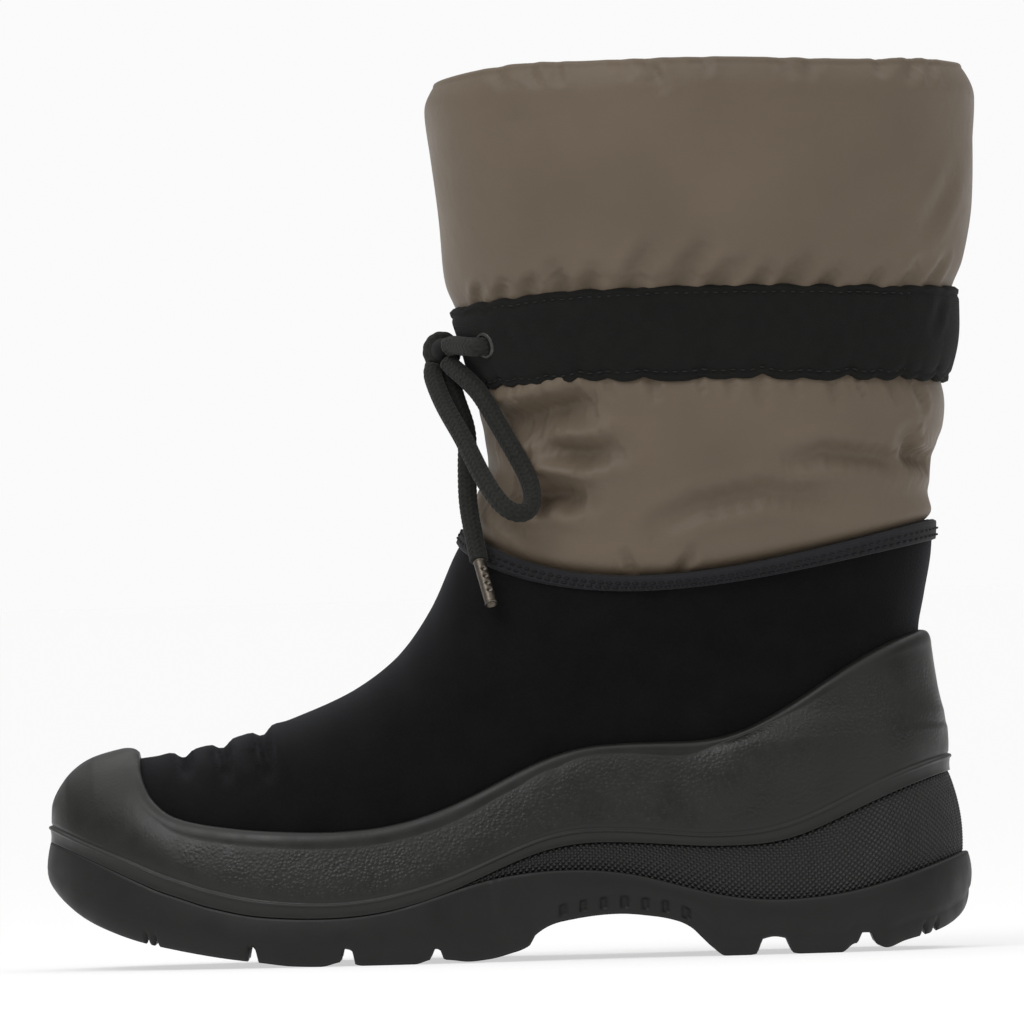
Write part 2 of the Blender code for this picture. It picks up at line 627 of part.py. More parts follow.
def shell(material):
    """The moulded galosh: toe cap, side walls, heel counter and floor in one piece."""
    turn, out = TURNS, welt(TURNS)
    low_edge, under_floor = shell_seat()
    low, top = low_edge[:, 2], line_height("bead_top", low_edge[:, 0])
    bead = top - low
    outline = [low_edge]
    for share, depth in BEAD_PROFILE:
        outline.append(at_height(feather(turn, out + depth), low + bead * share))
    wall_foot = at_height(feather(turn, out), top + GROOVE_WIDTH)
    start = form(turn, BEAD_LEVEL)
    last = step_back(turn, RIM_LEVEL, RIM_ROUNDING[0][0])
    first_step, last_step = wall_foot - start, outward(turn, last) * (GAP + RIM_WALL)
    for share in (0, 0.25, 0.5, 0.75, 1):
        level = BEAD_LEVEL + (last - BEAD_LEVEL) * share
        outline.append(form(turn, level) + first_step + (last_step - first_step) * share**WALL_CURVE)
    for back, fullness in RIM_ROUNDING[1:]:
        outline.append(inset(step_back(turn, RIM_LEVEL, back), -GAP - RIM_WALL * fullness))
    skin = Skin()
    outer = [skin.ring(ring) for ring in outline]
    rows = between(0, RIM_LEVEL, FOOT_SHARES)
    inner = [skin.ring(at_height(feather(turn, GAP), form(turn, 0)[:, 2] - GAP))]
    inner += [skin.ring(inset(row, -GAP)) for row in rows[1:]]
    skin.walls(outer)
    skin.walls(inner)
    skin.wall(outer[-1], inner[-1])
    skin.cap(inner[0], ACROSS, lambda x, s, z: z, flip=True)
    under = skin.ring(under_floor)
    skin.wall(under, outer[0])
    skin.cap(under, ACROSS, lambda x, s, z: z, flip=False)
    return skin.build("shell", material)


def insole(material):
    """Footbed inside the upper."""
    edge = feather(TURNS, -(UPPER_WALL + GAP))
    floor = form(TURNS, 0)[:, 2]
    skin = Skin()
    low = skin.ring(at_height(edge, floor))
    high = skin.ring(at_height(edge, floor + INSOLE_THICKNESS))
    skin.wall(low, high)
    skin.cap(low, (0.5,), lambda x, s, z: z, flip=True)
    skin.cap(high, (0.5,), lambda x, s, z: z, flip=False)
    return skin.build("insole", material)


def turn_of_share(share):
    """The turn on the outer side where a share from front to back is reached."""
    turns = np.linspace(0, 0.5, 2001)
    return np.interp(share, around(turns)[0], turns)


def two_sides(turns):
    """A full ring of turns from those of the outer side."""
    turns = np.unique(np.round(turns, 7))
    inner = 1 - turns[(turns > 0) & (turns < 0.5)][::-1]
    return np.concatenate([turns, inner])


def groove_depth(x):
    """Depth of the tread's grooves at x, with slanting walls."""
    depth = np.zeros_like(x)
    for middle, width, share in GROOVES:
        away = np.abs(x / SOLE_LENGTH - middle)
        depth = np.maximum(depth, share * FOOT_HEIGHT * np.clip((width / 2 - away) / GROOVE_SLANT, 0, 1))
    return depth


def underside(x):
    return FOOT_HEIGHT * np.interp(x / SOLE_LENGTH, UNDER_X, UNDER_Z)


def in_lugs(x):
    """Whether x is under heel or forefoot, outside the arch and the rise of the toe."""
    return any(low < x / SOLE_LENGTH < high for low, high in CHANNEL_RUNS)


RIB_FIRST = RIB_MIDDLE * SOLE_LENGTH - RIB_PITCH * (RIB_COUNT - 1) / 2


def rib_depth(x):
    """Depth of the short grooves between the ribs on the arch's side."""
    phase = (x - RIB_FIRST) / RIB_PITCH
    near = np.abs(phase - np.round(phase)) * RIB_PITCH
    inside = (phase > -0.5) & (phase < RIB_COUNT - 0.5)
    return np.where(inside, RIB_DEPTH * np.clip((RIB_PITCH * RIB_GROOVE - near) / RIB_SLANT, 0, 1), 0)


def outsole_turns():
    """Stations of the outsole: those of the form, with the edges of grooves and ribs added."""
    side = TURNS[: SIDE_STATIONS + 1]
    plan_x = feather(side, welt(side))[:, 0]
    edges = [*SHARP_BENDS, WEDGE_START - GROOVE_SLANT, WEDGE_START]
    for middle, width, _ in GROOVES:
        for away in (width / 2, width / 2 - GROOVE_SLANT):
            edges += [middle - away, middle + away]
    for i in range(RIB_COUNT):
        for away in (-RIB_GROOVE, RIB_GROOVE):
            edges.append((RIB_FIRST + (i + away) * RIB_PITCH) / SOLE_LENGTH)
    turns = np.interp(np.array(edges) * SOLE_LENGTH, plan_x, side)
    kept = [t for t in side if np.abs(turns - t).min() > NEAREST_STATIONS or t in (0, 0.5)]
    return two_sides(np.concatenate([kept, turns]))


def outsole(material):
    """Rubber bottom: belly, ribs, slanting edge and lugs, with a top that fits shell and wedge."""
    turn = outsole_turns()
    share, _ = around(turn)
    out = welt(turn)
    x = feather(turn, out)[:, 0]
    grown = np.clip((share - FLARE_FROM) / FLARE_OVER, 0, 1)
    flare = OUTSOLE_BELLY + (HEEL_FLARE - OUTSOLE_BELLY) * grown
    shell_outer, shell_inner = shell_seat()
    wedge_outer, wedge_inner = wedge_seat()
    first = wedge_first()
    number = np.arange(len(TURNS))
    wedged = ((number >= first) & (number <= len(TURNS) - first))[:, None]
    ledge = np.where(wedged, wedge_outer - (0, 0, GAP), shell_outer - (0, 0, GAP))
    middle = np.where(wedged, wedge_inner - (0, 0, GAP), shell_inner - (0, 0, 2 * GAP))
    rest = np.interp(turn, np.append(TURNS, 1), np.append(ledge[:, 2], ledge[0, 2]))
    lip = feather(turn, out + np.where(x > WEDGE_START * SOLE_LENGTH, flare * SIDE_FULLNESS, LIP))
    base = feather(turn, out + flare - EDGE_INSET)
    bottom = underside(base[:, 0])
    groove = groove_depth(base[:, 0])
    rise = np.minimum(EDGE_RISE, BELLY_HEIGHT * (rest - bottom))
    belly = bottom + rise + BELLY_HEIGHT * (rest - bottom - rise)
    ribbed = feather(turn, out + flare * SIDE_FULLNESS - rib_depth(x))
    rings = [
        at_height(base, bottom + groove),
        at_height(ribbed, bottom + np.maximum(rise, groove + GROOVE_ROOF)),
        at_height(feather(turn, out + flare), belly),
        at_height(lip, rest),
    ]
    skin = Skin()
    made = [skin.ring(ring) for ring in rings]
    skin.walls(made)
    top, well = skin.ring(ledge), skin.ring(middle)
    skin.zip_up(made[-1], turn, top, TURNS)
    skin.wall(well, top)

    def tread(x, across, z):
        channel = CHANNEL_DEPTH if in_lugs(x) and CHANNEL_EDGES[0] < across < CHANNEL_EDGES[1] else 0.0
        return underside(x) + max(float(groove_depth(np.array(x))), channel)

    skin.cap(made[0], TREAD_ACROSS, tread, flip=True)
    skin.cap(well, ACROSS, lambda x, s, z: z, flip=False)
    return skin.build("outsole", material, math.radians(28))


def wedge(material):
    """The insert between shell and outsole, from arch to heel."""
    first = wedge_first()
    kept = slice(first, len(TURNS) - first + 1)
    wedge_outer, wedge_inner = wedge_seat()
    shell_outer, shell_inner = shell_seat()
    rings = [wedge_inner, wedge_outer, shell_outer - (0, 0, GAP), shell_inner - (0, 0, 2 * GAP)]
    skin = Skin()
    low_in, low_out, high_out, high_in = [skin.ring(ring[kept]) for ring in rings]
    count = len(low_in)
    for a, b in ((low_in, low_out), (low_out, high_out), (high_in, high_out)):
        for i in range(count - 1):
            skin.faces.append((a[i], a[i + 1], b[i + 1], b[i]))
    caps = [skin.ladder(ring, ACROSS) for ring in (low_in, high_in)]
    skin.faces.append((low_in[0], low_out[0], high_out[0], high_in[0]))
    skin.faces.append((high_in[-1], high_out[-1], low_out[-1], low_in[-1]))
    skin.faces.append((*caps[0], *caps[1][::-1]))
    return skin.build("heel_wedge", material)


def through(route, step):
    """Points about a step apart on a smooth curve through the route, with a short run at each end."""
    route = np.asarray(route, float)
    along = np.concatenate([[0], np.cumsum(np.linalg.norm(np.diff(route, axis=0), axis=1))])
    fine = np.linspace(0, along[-1], 400)
    padded = np.vstack([2 * route[0] - route[1], route, 2 * route[-1] - route[-2]])
    knots = np.concatenate([[-along[1]], along, [2 * along[-1] - along[-2]]])
    i = np.clip(np.searchsorted(along, fine, side="right") - 1, 0, len(route) - 2)
    width = along[i + 1] - along[i]
    t = ((fine - along[i]) / width)[:, None]
    a, b = padded[i + 1], padded[i + 2]
    speed_a = (padded[i + 2] - padded[i]) / (knots[i + 2] - knots[i])[:, None]
    speed_b = (padded[i + 3] - padded[i + 1]) / (knots[i + 3] - knots[i + 1])[:, None]
    w = width[:, None]
    curve = a * (1 + 2 * t) * (1 - t) ** 2 + b * t * t * (3 - 2 * t)
    curve += w * (speed_a * t * (1 - t) ** 2 - speed_b * t * t * (1 - t))
    length = np.concatenate([[0], np.cumsum(np.linalg.norm(np.diff(curve, axis=0), axis=1))])
    inner = np.linspace(END_RUN, length[-1] - END_RUN, max(2, round(length[-1] / step)))
    at = np.concatenate([[0], inner, [length[-1]]])
    return np.stack([np.interp(at, length, curve[:, k]) for k in range(3)], axis=1)


def cord(name, route, material, step=CORD_STEP):
    curve = bpy.data.curves.new(name, "CURVE")
    curve.dimensions = "3D"
    curve.bevel_depth = CORD_DIAMETER / 2
    curve.bevel_resolution = 2
    curve.use_fill_caps = True
    points = through(route, step * CORD_DIAMETER)
    spline = curve.splines.new("POLY")
    spline.points.add(len(points) - 1)
    for target, point in zip(spline.points, points):
        target.co = (*point, 1.0)
    return place(name, curve, material)


def tube(name, start, end, radius, material, hole=0.0):
    """A straight bar or a ring, from start to end."""
    start, end = np.asarray(start, float), np.asarray(end, float)
    axis = (end - start) / np.linalg.norm(end - start)
    side = np.cross(axis, (0, 0, 1))
    side /= np.linalg.norm(side)
    up = np.cross(side, axis)
    angles = np.arange(TUBE_SIDES) / TUBE_SIDES * 2 * math.pi
    circle = np.cos(angles)[:, None] * side + np.sin(angles)[:, None] * up
    skin = Skin()
    low, high = skin.ring(start + circle * radius), skin.ring(end + circle * radius)
    skin.wall(low, high)
    if hole:
        inner_low, inner_high = skin.ring(start + circle * hole), skin.ring(end + circle * hole)
        skin.walls([high, inner_high, inner_low, low])
    else:
        skin.faces.append(tuple(low[::-1]))
        skin.faces.append(tuple(high))
    return skin.build(name, material)


def knot(middle, material):
    """The tied knot, a smooth lump that the cords leave face to face."""
    skin = Skin()
    rings = []
    turns = np.arange(KNOT_SIDES) / KNOT_SIDES * 2 * math.pi
    for angle in np.linspace(-KNOT_POLE, KNOT_POLE, KNOT_RINGS):
        lean = math.radians(angle)
        along = np.full(KNOT_SIDES, math.sin(lean))
        ring = np.stack([np.cos(turns) * math.cos(lean), along, np.sin(turns) * math.cos(lean)], axis=1)
        rings.append(skin.ring(middle + ring * KNOT_SIZE))
    skin.walls(rings)
    skin.faces.append(tuple(rings[0][::-1]))
    skin.faces.append(tuple(rings[-1]))
    return skin.build("drawcord_knot", material)


def leaving(middle, strand, side):
    """First two points of a cord that leaves the knot at a right angle to its surface."""
    way = np.array(KNOT_LEAVES[strand]) * (1, -side, 1)
    way /= np.linalg.norm(way)
    normal = way / np.array(KNOT_SIZE)
    normal /= np.linalg.norm(normal)
    place_on_knot = middle + way * KNOT_SIZE
    return [place_on_knot + normal * GAP, place_on_knot + normal * END_RUN]


def drawcord(cord_cloth, metal):
    """Eyelets, bars, knot, bow loops and hanging ends, the far half a mirror of the near one."""
    level = between(LEVEL_OF["band_low"], LEVEL_OF["band_top"], [CORD_HEIGHT])[0]
    front = form(np.array([0.0]), level)[0]
    middle = front + np.array([-KNOT_AHEAD, 0.0, 0.0])
    knot(middle, cord_cloth)
    for side, word in ((-1, "near"), (1, "far")):
        turn = turn_of_share(EYELET_ALONG)
        turn = np.array([turn if side < 0 else 1 - turn])
        skin_point, normal = form(turn, level)[0], outward(turn, level)[0]
        seat = skin_point + normal * GAP
        tube(f"eyelet_{word}", seat, seat + normal * EYELET_THICKNESS, EYELET_RADIUS, metal,
             hole=CORD_DIAMETER / 2 + GAP)
        mirror = np.array([0.001, -side * 0.001, SHAFT_HEIGHT])
        out = seat + normal * 2 * GAP
        bar = [out, out + normal * BAR_STANDS_OUT, *leaving(middle, "bar", side)[::-1]]
        cord(f"drawcord_bar_{word}", bar, cord_cloth, step=BAR_STEP)
        loop = [*leaving(middle, "loop", side), *(middle + np.array(LOOP_ROUTE) * mirror),
                *leaving(middle, "back", side)[::-1]]
        cord(f"drawcord_loop_{word}", loop, cord_cloth)
        hanging = [*leaving(middle, "end", side), *(middle + np.array(END_ROUTE) * mirror)]
        cord(f"drawcord_end_{word}", hanging, cord_cloth)
        lean = np.array(AGLET_LEAN) * (1, -side, 1)
        lean /= np.linalg.norm(lean)
        tip = hanging[-1] + lean * 2 * GAP
        tube(f"aglet_{word}", tip, tip + lean * AGLET_LENGTH, AGLET_RADIUS, metal)


def centre_on_floor():
    """Moves the boot so that the middle of its box, without the cord, is over the origin."""
    pieces = [p for p in bpy.context.scene.objects if not p.name.startswith(("drawcord_", "aglet"))]
    pieces.append(bpy.data.objects["drawcord_band"])
    points = np.array([v.co for p in pieces for v in p.data.vertices])
    low, high = points.min(axis=0), points.max(axis=0)
    shift = np.array([-(low[0] + high[0]) / 2, -(low[1] + high[1]) / 2, -low[2]])
    for piece in bpy.context.scene.objects:
        if piece.type == "MESH":
            for vertex in piece.data.vertices:
                vertex.co = np.array(vertex.co) + shift
        else:
            for point in piece.data.splines[0].points:
                point.co = (*(np.array(point.co)[:3] + shift), 1.0)


def main():
    for piece in list(bpy.data.objects):
        bpy.data.objects.remove(piece)
    rubber = make_material("outsole_rubber", (0.034, 0.036, 0.037), 0.55)
    insert = make_material("insert_rubber", (0.030, 0.032, 0.032), 0.62)
    moulded = make_material("shell_rubber", (0.040, 0.042, 0.042), 0.45)
    textile = make_material("upper_textile", (0.0105, 0.0105, 0.0112), 0.90)
    tape = make_material("binding_tape", (0.020, 0.020, 0.026), 0.80)
    nylon = make_material("shaft_nylon", (0.150, 0.117, 0.084), 0.55)
    tunnel = make_material("band_cloth", (0.0125, 0.0125, 0.0110), 0.88)
    felt = make_material("insole_felt", (0.060, 0.060, 0.058), 0.95)
    braid = make_material("cord_braid", (0.028, 0.028, 0.024), 0.75)
    metal = make_material("eyelet_metal", (0.25, 0.24, 0.22), 0.35, 1.0)
    outsole(rubber)
    wedge(insert)
    shell(moulded)
    upper(textile)
    insole(felt)
    binding(tape)
    shaft(nylon)
    band(tunnel)
    cuff(nylon)
    drawcord(braid, metal)
    centre_on_floor()


main()
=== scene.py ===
"""Winter boot for the left foot: fine meshes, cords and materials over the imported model."""
import math

import bpy
import numpy as np
from mathutils import Matrix, Vector, noise


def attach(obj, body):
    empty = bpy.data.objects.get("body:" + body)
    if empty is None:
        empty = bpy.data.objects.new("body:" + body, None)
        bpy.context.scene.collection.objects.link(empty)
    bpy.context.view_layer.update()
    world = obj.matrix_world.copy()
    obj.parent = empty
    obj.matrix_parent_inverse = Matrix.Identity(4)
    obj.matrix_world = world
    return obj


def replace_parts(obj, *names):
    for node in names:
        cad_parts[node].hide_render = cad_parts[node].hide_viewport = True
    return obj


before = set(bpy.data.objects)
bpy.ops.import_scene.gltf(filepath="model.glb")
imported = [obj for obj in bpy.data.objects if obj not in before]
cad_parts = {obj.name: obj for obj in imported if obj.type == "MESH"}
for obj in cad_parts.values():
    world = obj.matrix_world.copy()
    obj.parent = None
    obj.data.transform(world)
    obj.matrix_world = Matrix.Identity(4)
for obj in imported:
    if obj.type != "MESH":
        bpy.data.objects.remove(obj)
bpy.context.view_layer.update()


# Studio
# A floor that glows like a light table, soft lights under a banded sky, and the camera at the photo's angle:
# level with the boot's outer side and rolled a little, so that the heel side stands higher in the picture.
def point_camera(place, target, lens, roll):
    data = bpy.data.cameras.new("camera")
    data.lens = lens
    data.clip_end = 50
    camera = bpy.data.objects.new("camera", data)
    bpy.context.scene.collection.objects.link(camera)
    way = (Vector(target) - Vector(place)).normalized()
    turn = way.to_track_quat("-Z", "Y").to_matrix() @ Matrix.Rotation(math.radians(roll), 3, "Z")
    camera.matrix_world = Matrix.Translation(place) @ turn.to_4x4()
    bpy.context.scene.camera = camera


def area_light(name, place, target, size, power):
    data = bpy.data.lights.new(name, "AREA")
    data.shape = "RECTANGLE"
    data.size, data.size_y = size
    data.energy = power
    light = bpy.data.objects.new(name, data)
    bpy.context.scene.collection.objects.link(light)
    light.location = place
    light.rotation_euler = (Vector(target) - Vector(place)).to_track_quat("-Z", "Y").to_euler()


def make_floor(reach, grey, glow):
    """A wide matt floor that stays white, with faint shadows."""
    points = [(x, y, 0) for x, y in ((-reach, -reach), (reach, -reach), (reach, reach), (-reach, reach))]
    mesh = bpy.data.meshes.new("floor")
    mesh.from_pydata(points, [], [(0, 1, 2, 3)])
    floor = bpy.data.objects.new("floor", mesh)
    bpy.context.scene.collection.objects.link(floor)
    paint = bpy.data.materials.new("floor_paint")
    paint.use_nodes = True
    shader = paint.node_tree.nodes["Principled BSDF"]
    shader.inputs["Base Color"].default_value = (grey, grey, grey, 1)
    shader.inputs["Emission Color"].default_value = (1, 1, 1, 1)
    shader.inputs["Emission Strength"].default_value = glow
    shader.inputs["Roughness"].default_value = 0.8
    shader.inputs["Specular IOR Level"].default_value = 0.1
    mesh.materials.append(paint)


SKY_BANDS = ((0.00, 0.74), (0.05, 0.74), (0.13, 0.26), (0.50, 0.26), (0.72, 1.0))  # height and grey


def make_sky(strength):
    """Light from above and a bright horizon, darker between them, so that the rubber shows its form."""
    world = bpy.data.worlds.new("studio")
    bpy.context.scene.world = world
    world.use_nodes = True
    tree = world.node_tree
    place = tree.nodes.new("ShaderNodeTexCoord")
    split = tree.nodes.new("ShaderNodeSeparateXYZ")
    ramp = tree.nodes.new("ShaderNodeValToRGB")
    tree.links.new(place.outputs["Generated"], split.inputs[0])
    tree.links.new(split.outputs["Z"], ramp.inputs[0])
    tree.links.new(ramp.outputs[0], tree.nodes["Background"].inputs["Color"])
    tree.nodes["Background"].inputs["Strength"].default_value = strength
    while len(ramp.color_ramp.elements) < len(SKY_BANDS):
        ramp.color_ramp.elements.new(0.5)
    for element, (at, grey) in zip(ramp.color_ramp.elements, SKY_BANDS):
        element.position = at
        element.color = (grey, grey, grey, 1)


bpy.context.scene.view_settings.view_transform = "Standard"
point_camera(place=(0.0004, -7.20, 0.1385), target=(0.0004, 0.0, 0.1385), lens=816.0, roll=-1.55)
area_light("key_light", place=(-0.9, -1.2, 1.5), target=(0, 0, 0.12), size=(0.9, 0.9), power=12)
area_light("fill_light", place=(1.3, -1.3, 0.8), target=(0, 0, 0.12), size=(1.2, 1.2), power=2)
make_floor(reach=30.0, grey=0.40, glow=0.568)
make_sky(strength=1.3)


# Outsole
# The moulded rubber bottom, with heel and forefoot lugs, a raised arch with short ribs on its side, and a
# belly along its edge. It is pressed in one mould and carries the whole boot.
SOLE_LENGTH, BALL_WIDTH, FOOT_HEIGHT, SHAFT_HEIGHT = 0.285, 0.103, 0.134, 0.143
MIDDLE_X = 0.14710  # from the toe to the middle of the boot's box

# Rings of the form, the surface that the whole boot is built on, from the foot's bottom edge to the top of
# the cuff. Front and back points: x in sole lengths, z in foot heights up to 1 and in shaft heights beyond.
RING_COLUMNS = ("front_x", "front_z", "back_x", "back_z", "bed", "dip", "oval", "form")
RINGS = {
    "feather": (0.033, 0.201, 0.951, 0.310, 1.00, 0.000, 0.350, 0.00),
    "toe_low": (0.021, 0.284, 0.957, 0.373, 0.85, 0.000, 0.350, 0.00),
    "toe_mid": (0.021, 0.366, 0.958, 0.425, 0.55, 0.000, 0.350, 0.00),
    "toe_high": (0.035, 0.431, 0.959, 0.463, 0.30, 0.000, 0.350, 0.00),
    "toe_top": (0.061, 0.470, 0.959, 0.489, 0.15, 0.000, 0.350, 0.00),
    "cap_edge": (0.105, 0.488, 0.958, 0.507, 0.05, 0.000, 0.350, 0.00),
    "vamp_1": (0.154, 0.497, 0.958, 0.530, 0.00, 0.000, 0.350, 0.00),
    "vamp_2": (0.218, 0.528, 0.957, 0.560, 0.00, 0.000, 0.350, 0.00),
    "vamp_3": (0.281, 0.574, 0.956, 0.604, 0.00, 0.000, 0.350, 0.00),
    "vamp_4": (0.340, 0.630, 0.956, 0.657, 0.00, -0.007, 0.350, 0.05),
    "instep_1": (0.389, 0.708, 0.956, 0.731, 0.00, -0.022, 0.350, 0.15),
    "instep_2": (0.426, 0.818, 0.963, 0.821, 0.00, -0.060, 0.359, 0.40),
    "instep_3": (0.453, 0.938, 0.972, 0.925, 0.00, -0.101, 0.369, 0.70),
    "upper_top": (0.470, 1.000, 0.974, 0.989, 0.00, -0.119, 0.379, 0.88),
    "shaft_low": (0.482, 1.063, 0.966, 1.056, 0.00, -0.067, 0.388, 1.00),
    "shaft_1": (0.498, 1.133, 0.968, 1.126, 0.00, -0.030, 0.403, 1.00),
    "shaft_2": (0.496, 1.203, 0.983, 1.196, 0.00, -0.007, 0.417, 1.00),
    "band_low": (0.483, 1.291, 0.991, 1.291, 0.00, 0.019, 0.437, 1.00),
    "band_mid": (0.472, 1.378, 1.001, 1.392, 0.00, 0.026, 0.447, 1.00),
    "band_top": (0.461, 1.471, 1.006, 1.491, 0.00, 0.030, 0.461, 1.00),
    "cuff_low": (0.453, 1.531, 1.014, 1.552, 0.00, 0.019, 0.490, 1.00),
    "cuff_1": (0.447, 1.657, 1.024, 1.678, 0.00, 0.007, 0.524, 1.00),
    "cuff_2": (0.438, 1.811, 1.027, 1.818, 0.00, 0.015, 0.544, 1.00),
    "cuff_3": (0.434, 1.902, 1.029, 1.899, 0.00, 0.030, 0.544, 1.00),
    "cuff_top": (0.440, 1.962, 1.021, 1.958, 0.00, 0.041, 0.529, 1.00),
}
DIP_PEAK, OVAL_POWER, DOME_POWER, WIDEST_HEIGHT, THROAT_SLOPE = 0.68, 2.25, 2.2, 0.25, 3.0

# Plan of the foot: share from toe to heel, half width and centre in ball widths, bed in foot heights
PLAN_COLUMNS = ("along", "half_width", "centre", "bed")
PLAN = (
    (0.03, 0.190, 0.063, 0.183),
    (0.15, 0.378, 0.049, 0.159),
    (0.30, 0.432, 0.010, 0.148),
    (0.42, 0.415, -0.015, 0.185),
    (0.52, 0.376, -0.027, 0.239),
    (0.65, 0.331, -0.029, 0.263),
    (0.85, 0.302, -0.005, 0.282),
    (0.97, 0.182, 0.000, 0.304),
)

# Lines along the side, x in sole lengths and heights in foot heights
LINE_COLUMNS = ("x", "rim", "bead_top", "bead_low", "wedge_low")
LINES = (
    (0.000, 0.634, 0.347, 0.306, 0.306),
    (0.042, 0.597, 0.303, 0.266, 0.266),
    (0.102, 0.537, 0.246, 0.204, 0.204),
    (0.109, 0.444, 0.239, 0.197, 0.197),
    (0.121, 0.388, 0.227, 0.185, 0.185),
    (0.147, 0.346, 0.206, 0.165, 0.165),
    (0.182, 0.328, 0.181, 0.140, 0.140),
    (0.249, 0.312, 0.151, 0.113, 0.113),
    (0.319, 0.307, 0.143, 0.109, 0.109),
    (0.386, 0.322, 0.164, 0.128, 0.128),
    (0.456, 0.373, 0.209, 0.177, 0.177),
    (0.519, 0.440, 0.269, 0.237, 0.204),
    (0.579, 0.488, 0.303, 0.269, 0.209),
    (0.653, 0.496, 0.296, 0.264, 0.188),
    (0.723, 0.494, 0.279, 0.251, 0.143),
    (0.793, 0.549, 0.291, 0.254, 0.125),
    (0.867, 0.649, 0.354, 0.313, 0.138),
    (0.940, 0.730, 0.424, 0.381, 0.186),
    (1.000, 0.754, 0.459, 0.418, 0.234),
)
# Underside of the sole along its edge, x in sole lengths and heights in foot heights
UNDERSIDE = (
    (0.000, 0.243), (0.003, 0.219), (0.014, 0.178), (0.026, 0.150), (0.042, 0.122), (0.067, 0.094),
    (0.102, 0.066), (0.134, 0.049), (0.172, 0.032), (0.196, 0.023), (0.233, 0.012), (0.270, 0.002),
    (0.298, 0.000), (0.322, 0.010), (0.344, 0.000), (0.399, 0.000), (0.419, 0.010), (0.437, 0.008),
    (0.458, 0.003), (0.480, 0.007), (0.502, 0.018), (0.524, 0.036), (0.531, 0.060), (0.560, 0.089),
    (0.621, 0.103), (0.660, 0.095), (0.686, 0.082), (0.700, 0.066), (0.710, 0.045), (0.722, 0.020),
    (0.736, 0.000), (0.761, 0.000), (0.789, 0.012), (0.818, 0.000), (0.861, 0.000), (0.877, 0.020),
    (0.893, 0.020), (0.911, 0.008), (0.930, 0.022), (0.965, 0.042), (0.984, 0.061), (0.995, 0.083),
    (1.001, 0.112), (1.008, 0.136),
)
# Notches between lugs and teeth: middle, half width and slope in sole lengths, depth in foot heights
NOTCHES = (
    (0.1115, 0.0020, 0.0008, 0.018),
    (0.1215, 0.0022, 0.0008, 0.016),
    (0.2245, 0.0050, 0.0015, 0.034),
    (0.3275, 0.0075, 0.0030, 0.030),
    (0.4240, 0.0070, 0.0040, 0.024),
    (0.7890, 0.0190, 0.0060, 0.029),
    (0.8890, 0.0100, 0.0050, 0.024),
    (0.9500, 0.0025, 0.0010, 0.020),
    (0.9620, 0.0025, 0.0010, 0.018),
)


def height(share):
    """Foot heights up to one, then shaft heights."""
    return FOOT_HEIGHT * np.minimum(share, 1) + SHAFT_HEIGHT * np.maximum(np.subtract(share, 1), 0)


def smooth(knots, values, at):
    """A curve through the values without overshoot (monotone cubic)."""
    knots, values = np.asarray(knots, float), np.asarray(values, float)
    at = np.clip(at, knots[0], knots[-1])
    step = np.diff(knots)
    slope = np.diff(values) / step
    tangent = np.zeros_like(values)
    same_way = slope[:-1] * slope[1:] > 0
    weight_a, weight_b = 2 * step[1:] + step[:-1], step[1:] + 2 * step[:-1]
    divisor_a = np.where(same_way, slope[:-1], 1.0)
    divisor_b = np.where(same_way, slope[1:], 1.0)
    inner = (weight_a + weight_b) / (weight_a / divisor_a + weight_b / divisor_b)
    tangent[1:-1] = np.where(same_way, inner, 0.0)
    tangent[0], tangent[-1] = slope[0], slope[-1]
    i = np.clip(np.searchsorted(knots, at, side="right") - 1, 0, len(step) - 1)
    t = (at - knots[i]) / step[i]
    rise = values[i] * (1 + 2 * t) * (1 - t) ** 2 + values[i + 1] * t * t * (3 - 2 * t)
    return rise + step[i] * (tangent[i] * t * (1 - t) ** 2 - tangent[i + 1] * t * t * (1 - t))


RING_TABLE = {c: np.array([row[i] for row in RINGS.values()]) for i, c in enumerate(RING_COLUMNS)}
FRONT = np.stack([RING_TABLE["front_x"] * SOLE_LENGTH, height(RING_TABLE["front_z"])], axis=1)
BACK = np.stack([RING_TABLE["back_x"] * SOLE_LENGTH, height(RING_TABLE["back_z"])], axis=1)
CLIMB = np.linalg.norm(np.diff(FRONT, axis=0), axis=1) + np.linalg.norm(np.diff(BACK, axis=0), axis=1)
LEVEL = np.concatenate([[0], np.cumsum(CLIMB)]) / CLIMB.sum()
LEVEL_OF = dict(zip(RINGS, LEVEL))
TOE_RING = list(RINGS).index("toe_mid")
THROAT_RING = list(RINGS).index("upper_top")
PLAN_TABLE = {c: np.array([row[i] for row in PLAN]) for i, c in enumerate(PLAN_COLUMNS)}
LINE_TABLE = {c: np.array([row[i] for row in LINES]) for i, c in enumerate(LINE_COLUMNS)}
UNDER_X, UNDER_Z = np.array(UNDERSIDE).T


def sole_share(x):
    return (x + MIDDLE_X) / SOLE_LENGTH


def line_height(column, x):
    """Height of a line along the side, evened out over a few millimetres behind the toe cap."""
    share = sole_share(x)
    reach = 0.035 * np.clip((share - 0.16) / 0.1, 0, 1) * np.clip((1 - share) / 0.05, 0, 1)
    spots = np.linspace(-1, 1, 7)
    heights = [smooth(LINE_TABLE["x"], LINE_TABLE[column], share + k * reach) for k in spots]
    return FOOT_HEIGHT * sum(heights) / len(spots)


def around(turn):
    """Share from front to back, and the side (-1 outer, +1 inner), at each turn from 0 to 1."""
    turn = np.asarray(turn, float)
    half = 1 - np.abs(1 - 2 * turn)
    return (1 - np.cos(math.pi * half)) / 2, np.where(turn <= 0.5, -1.0, 1.0)


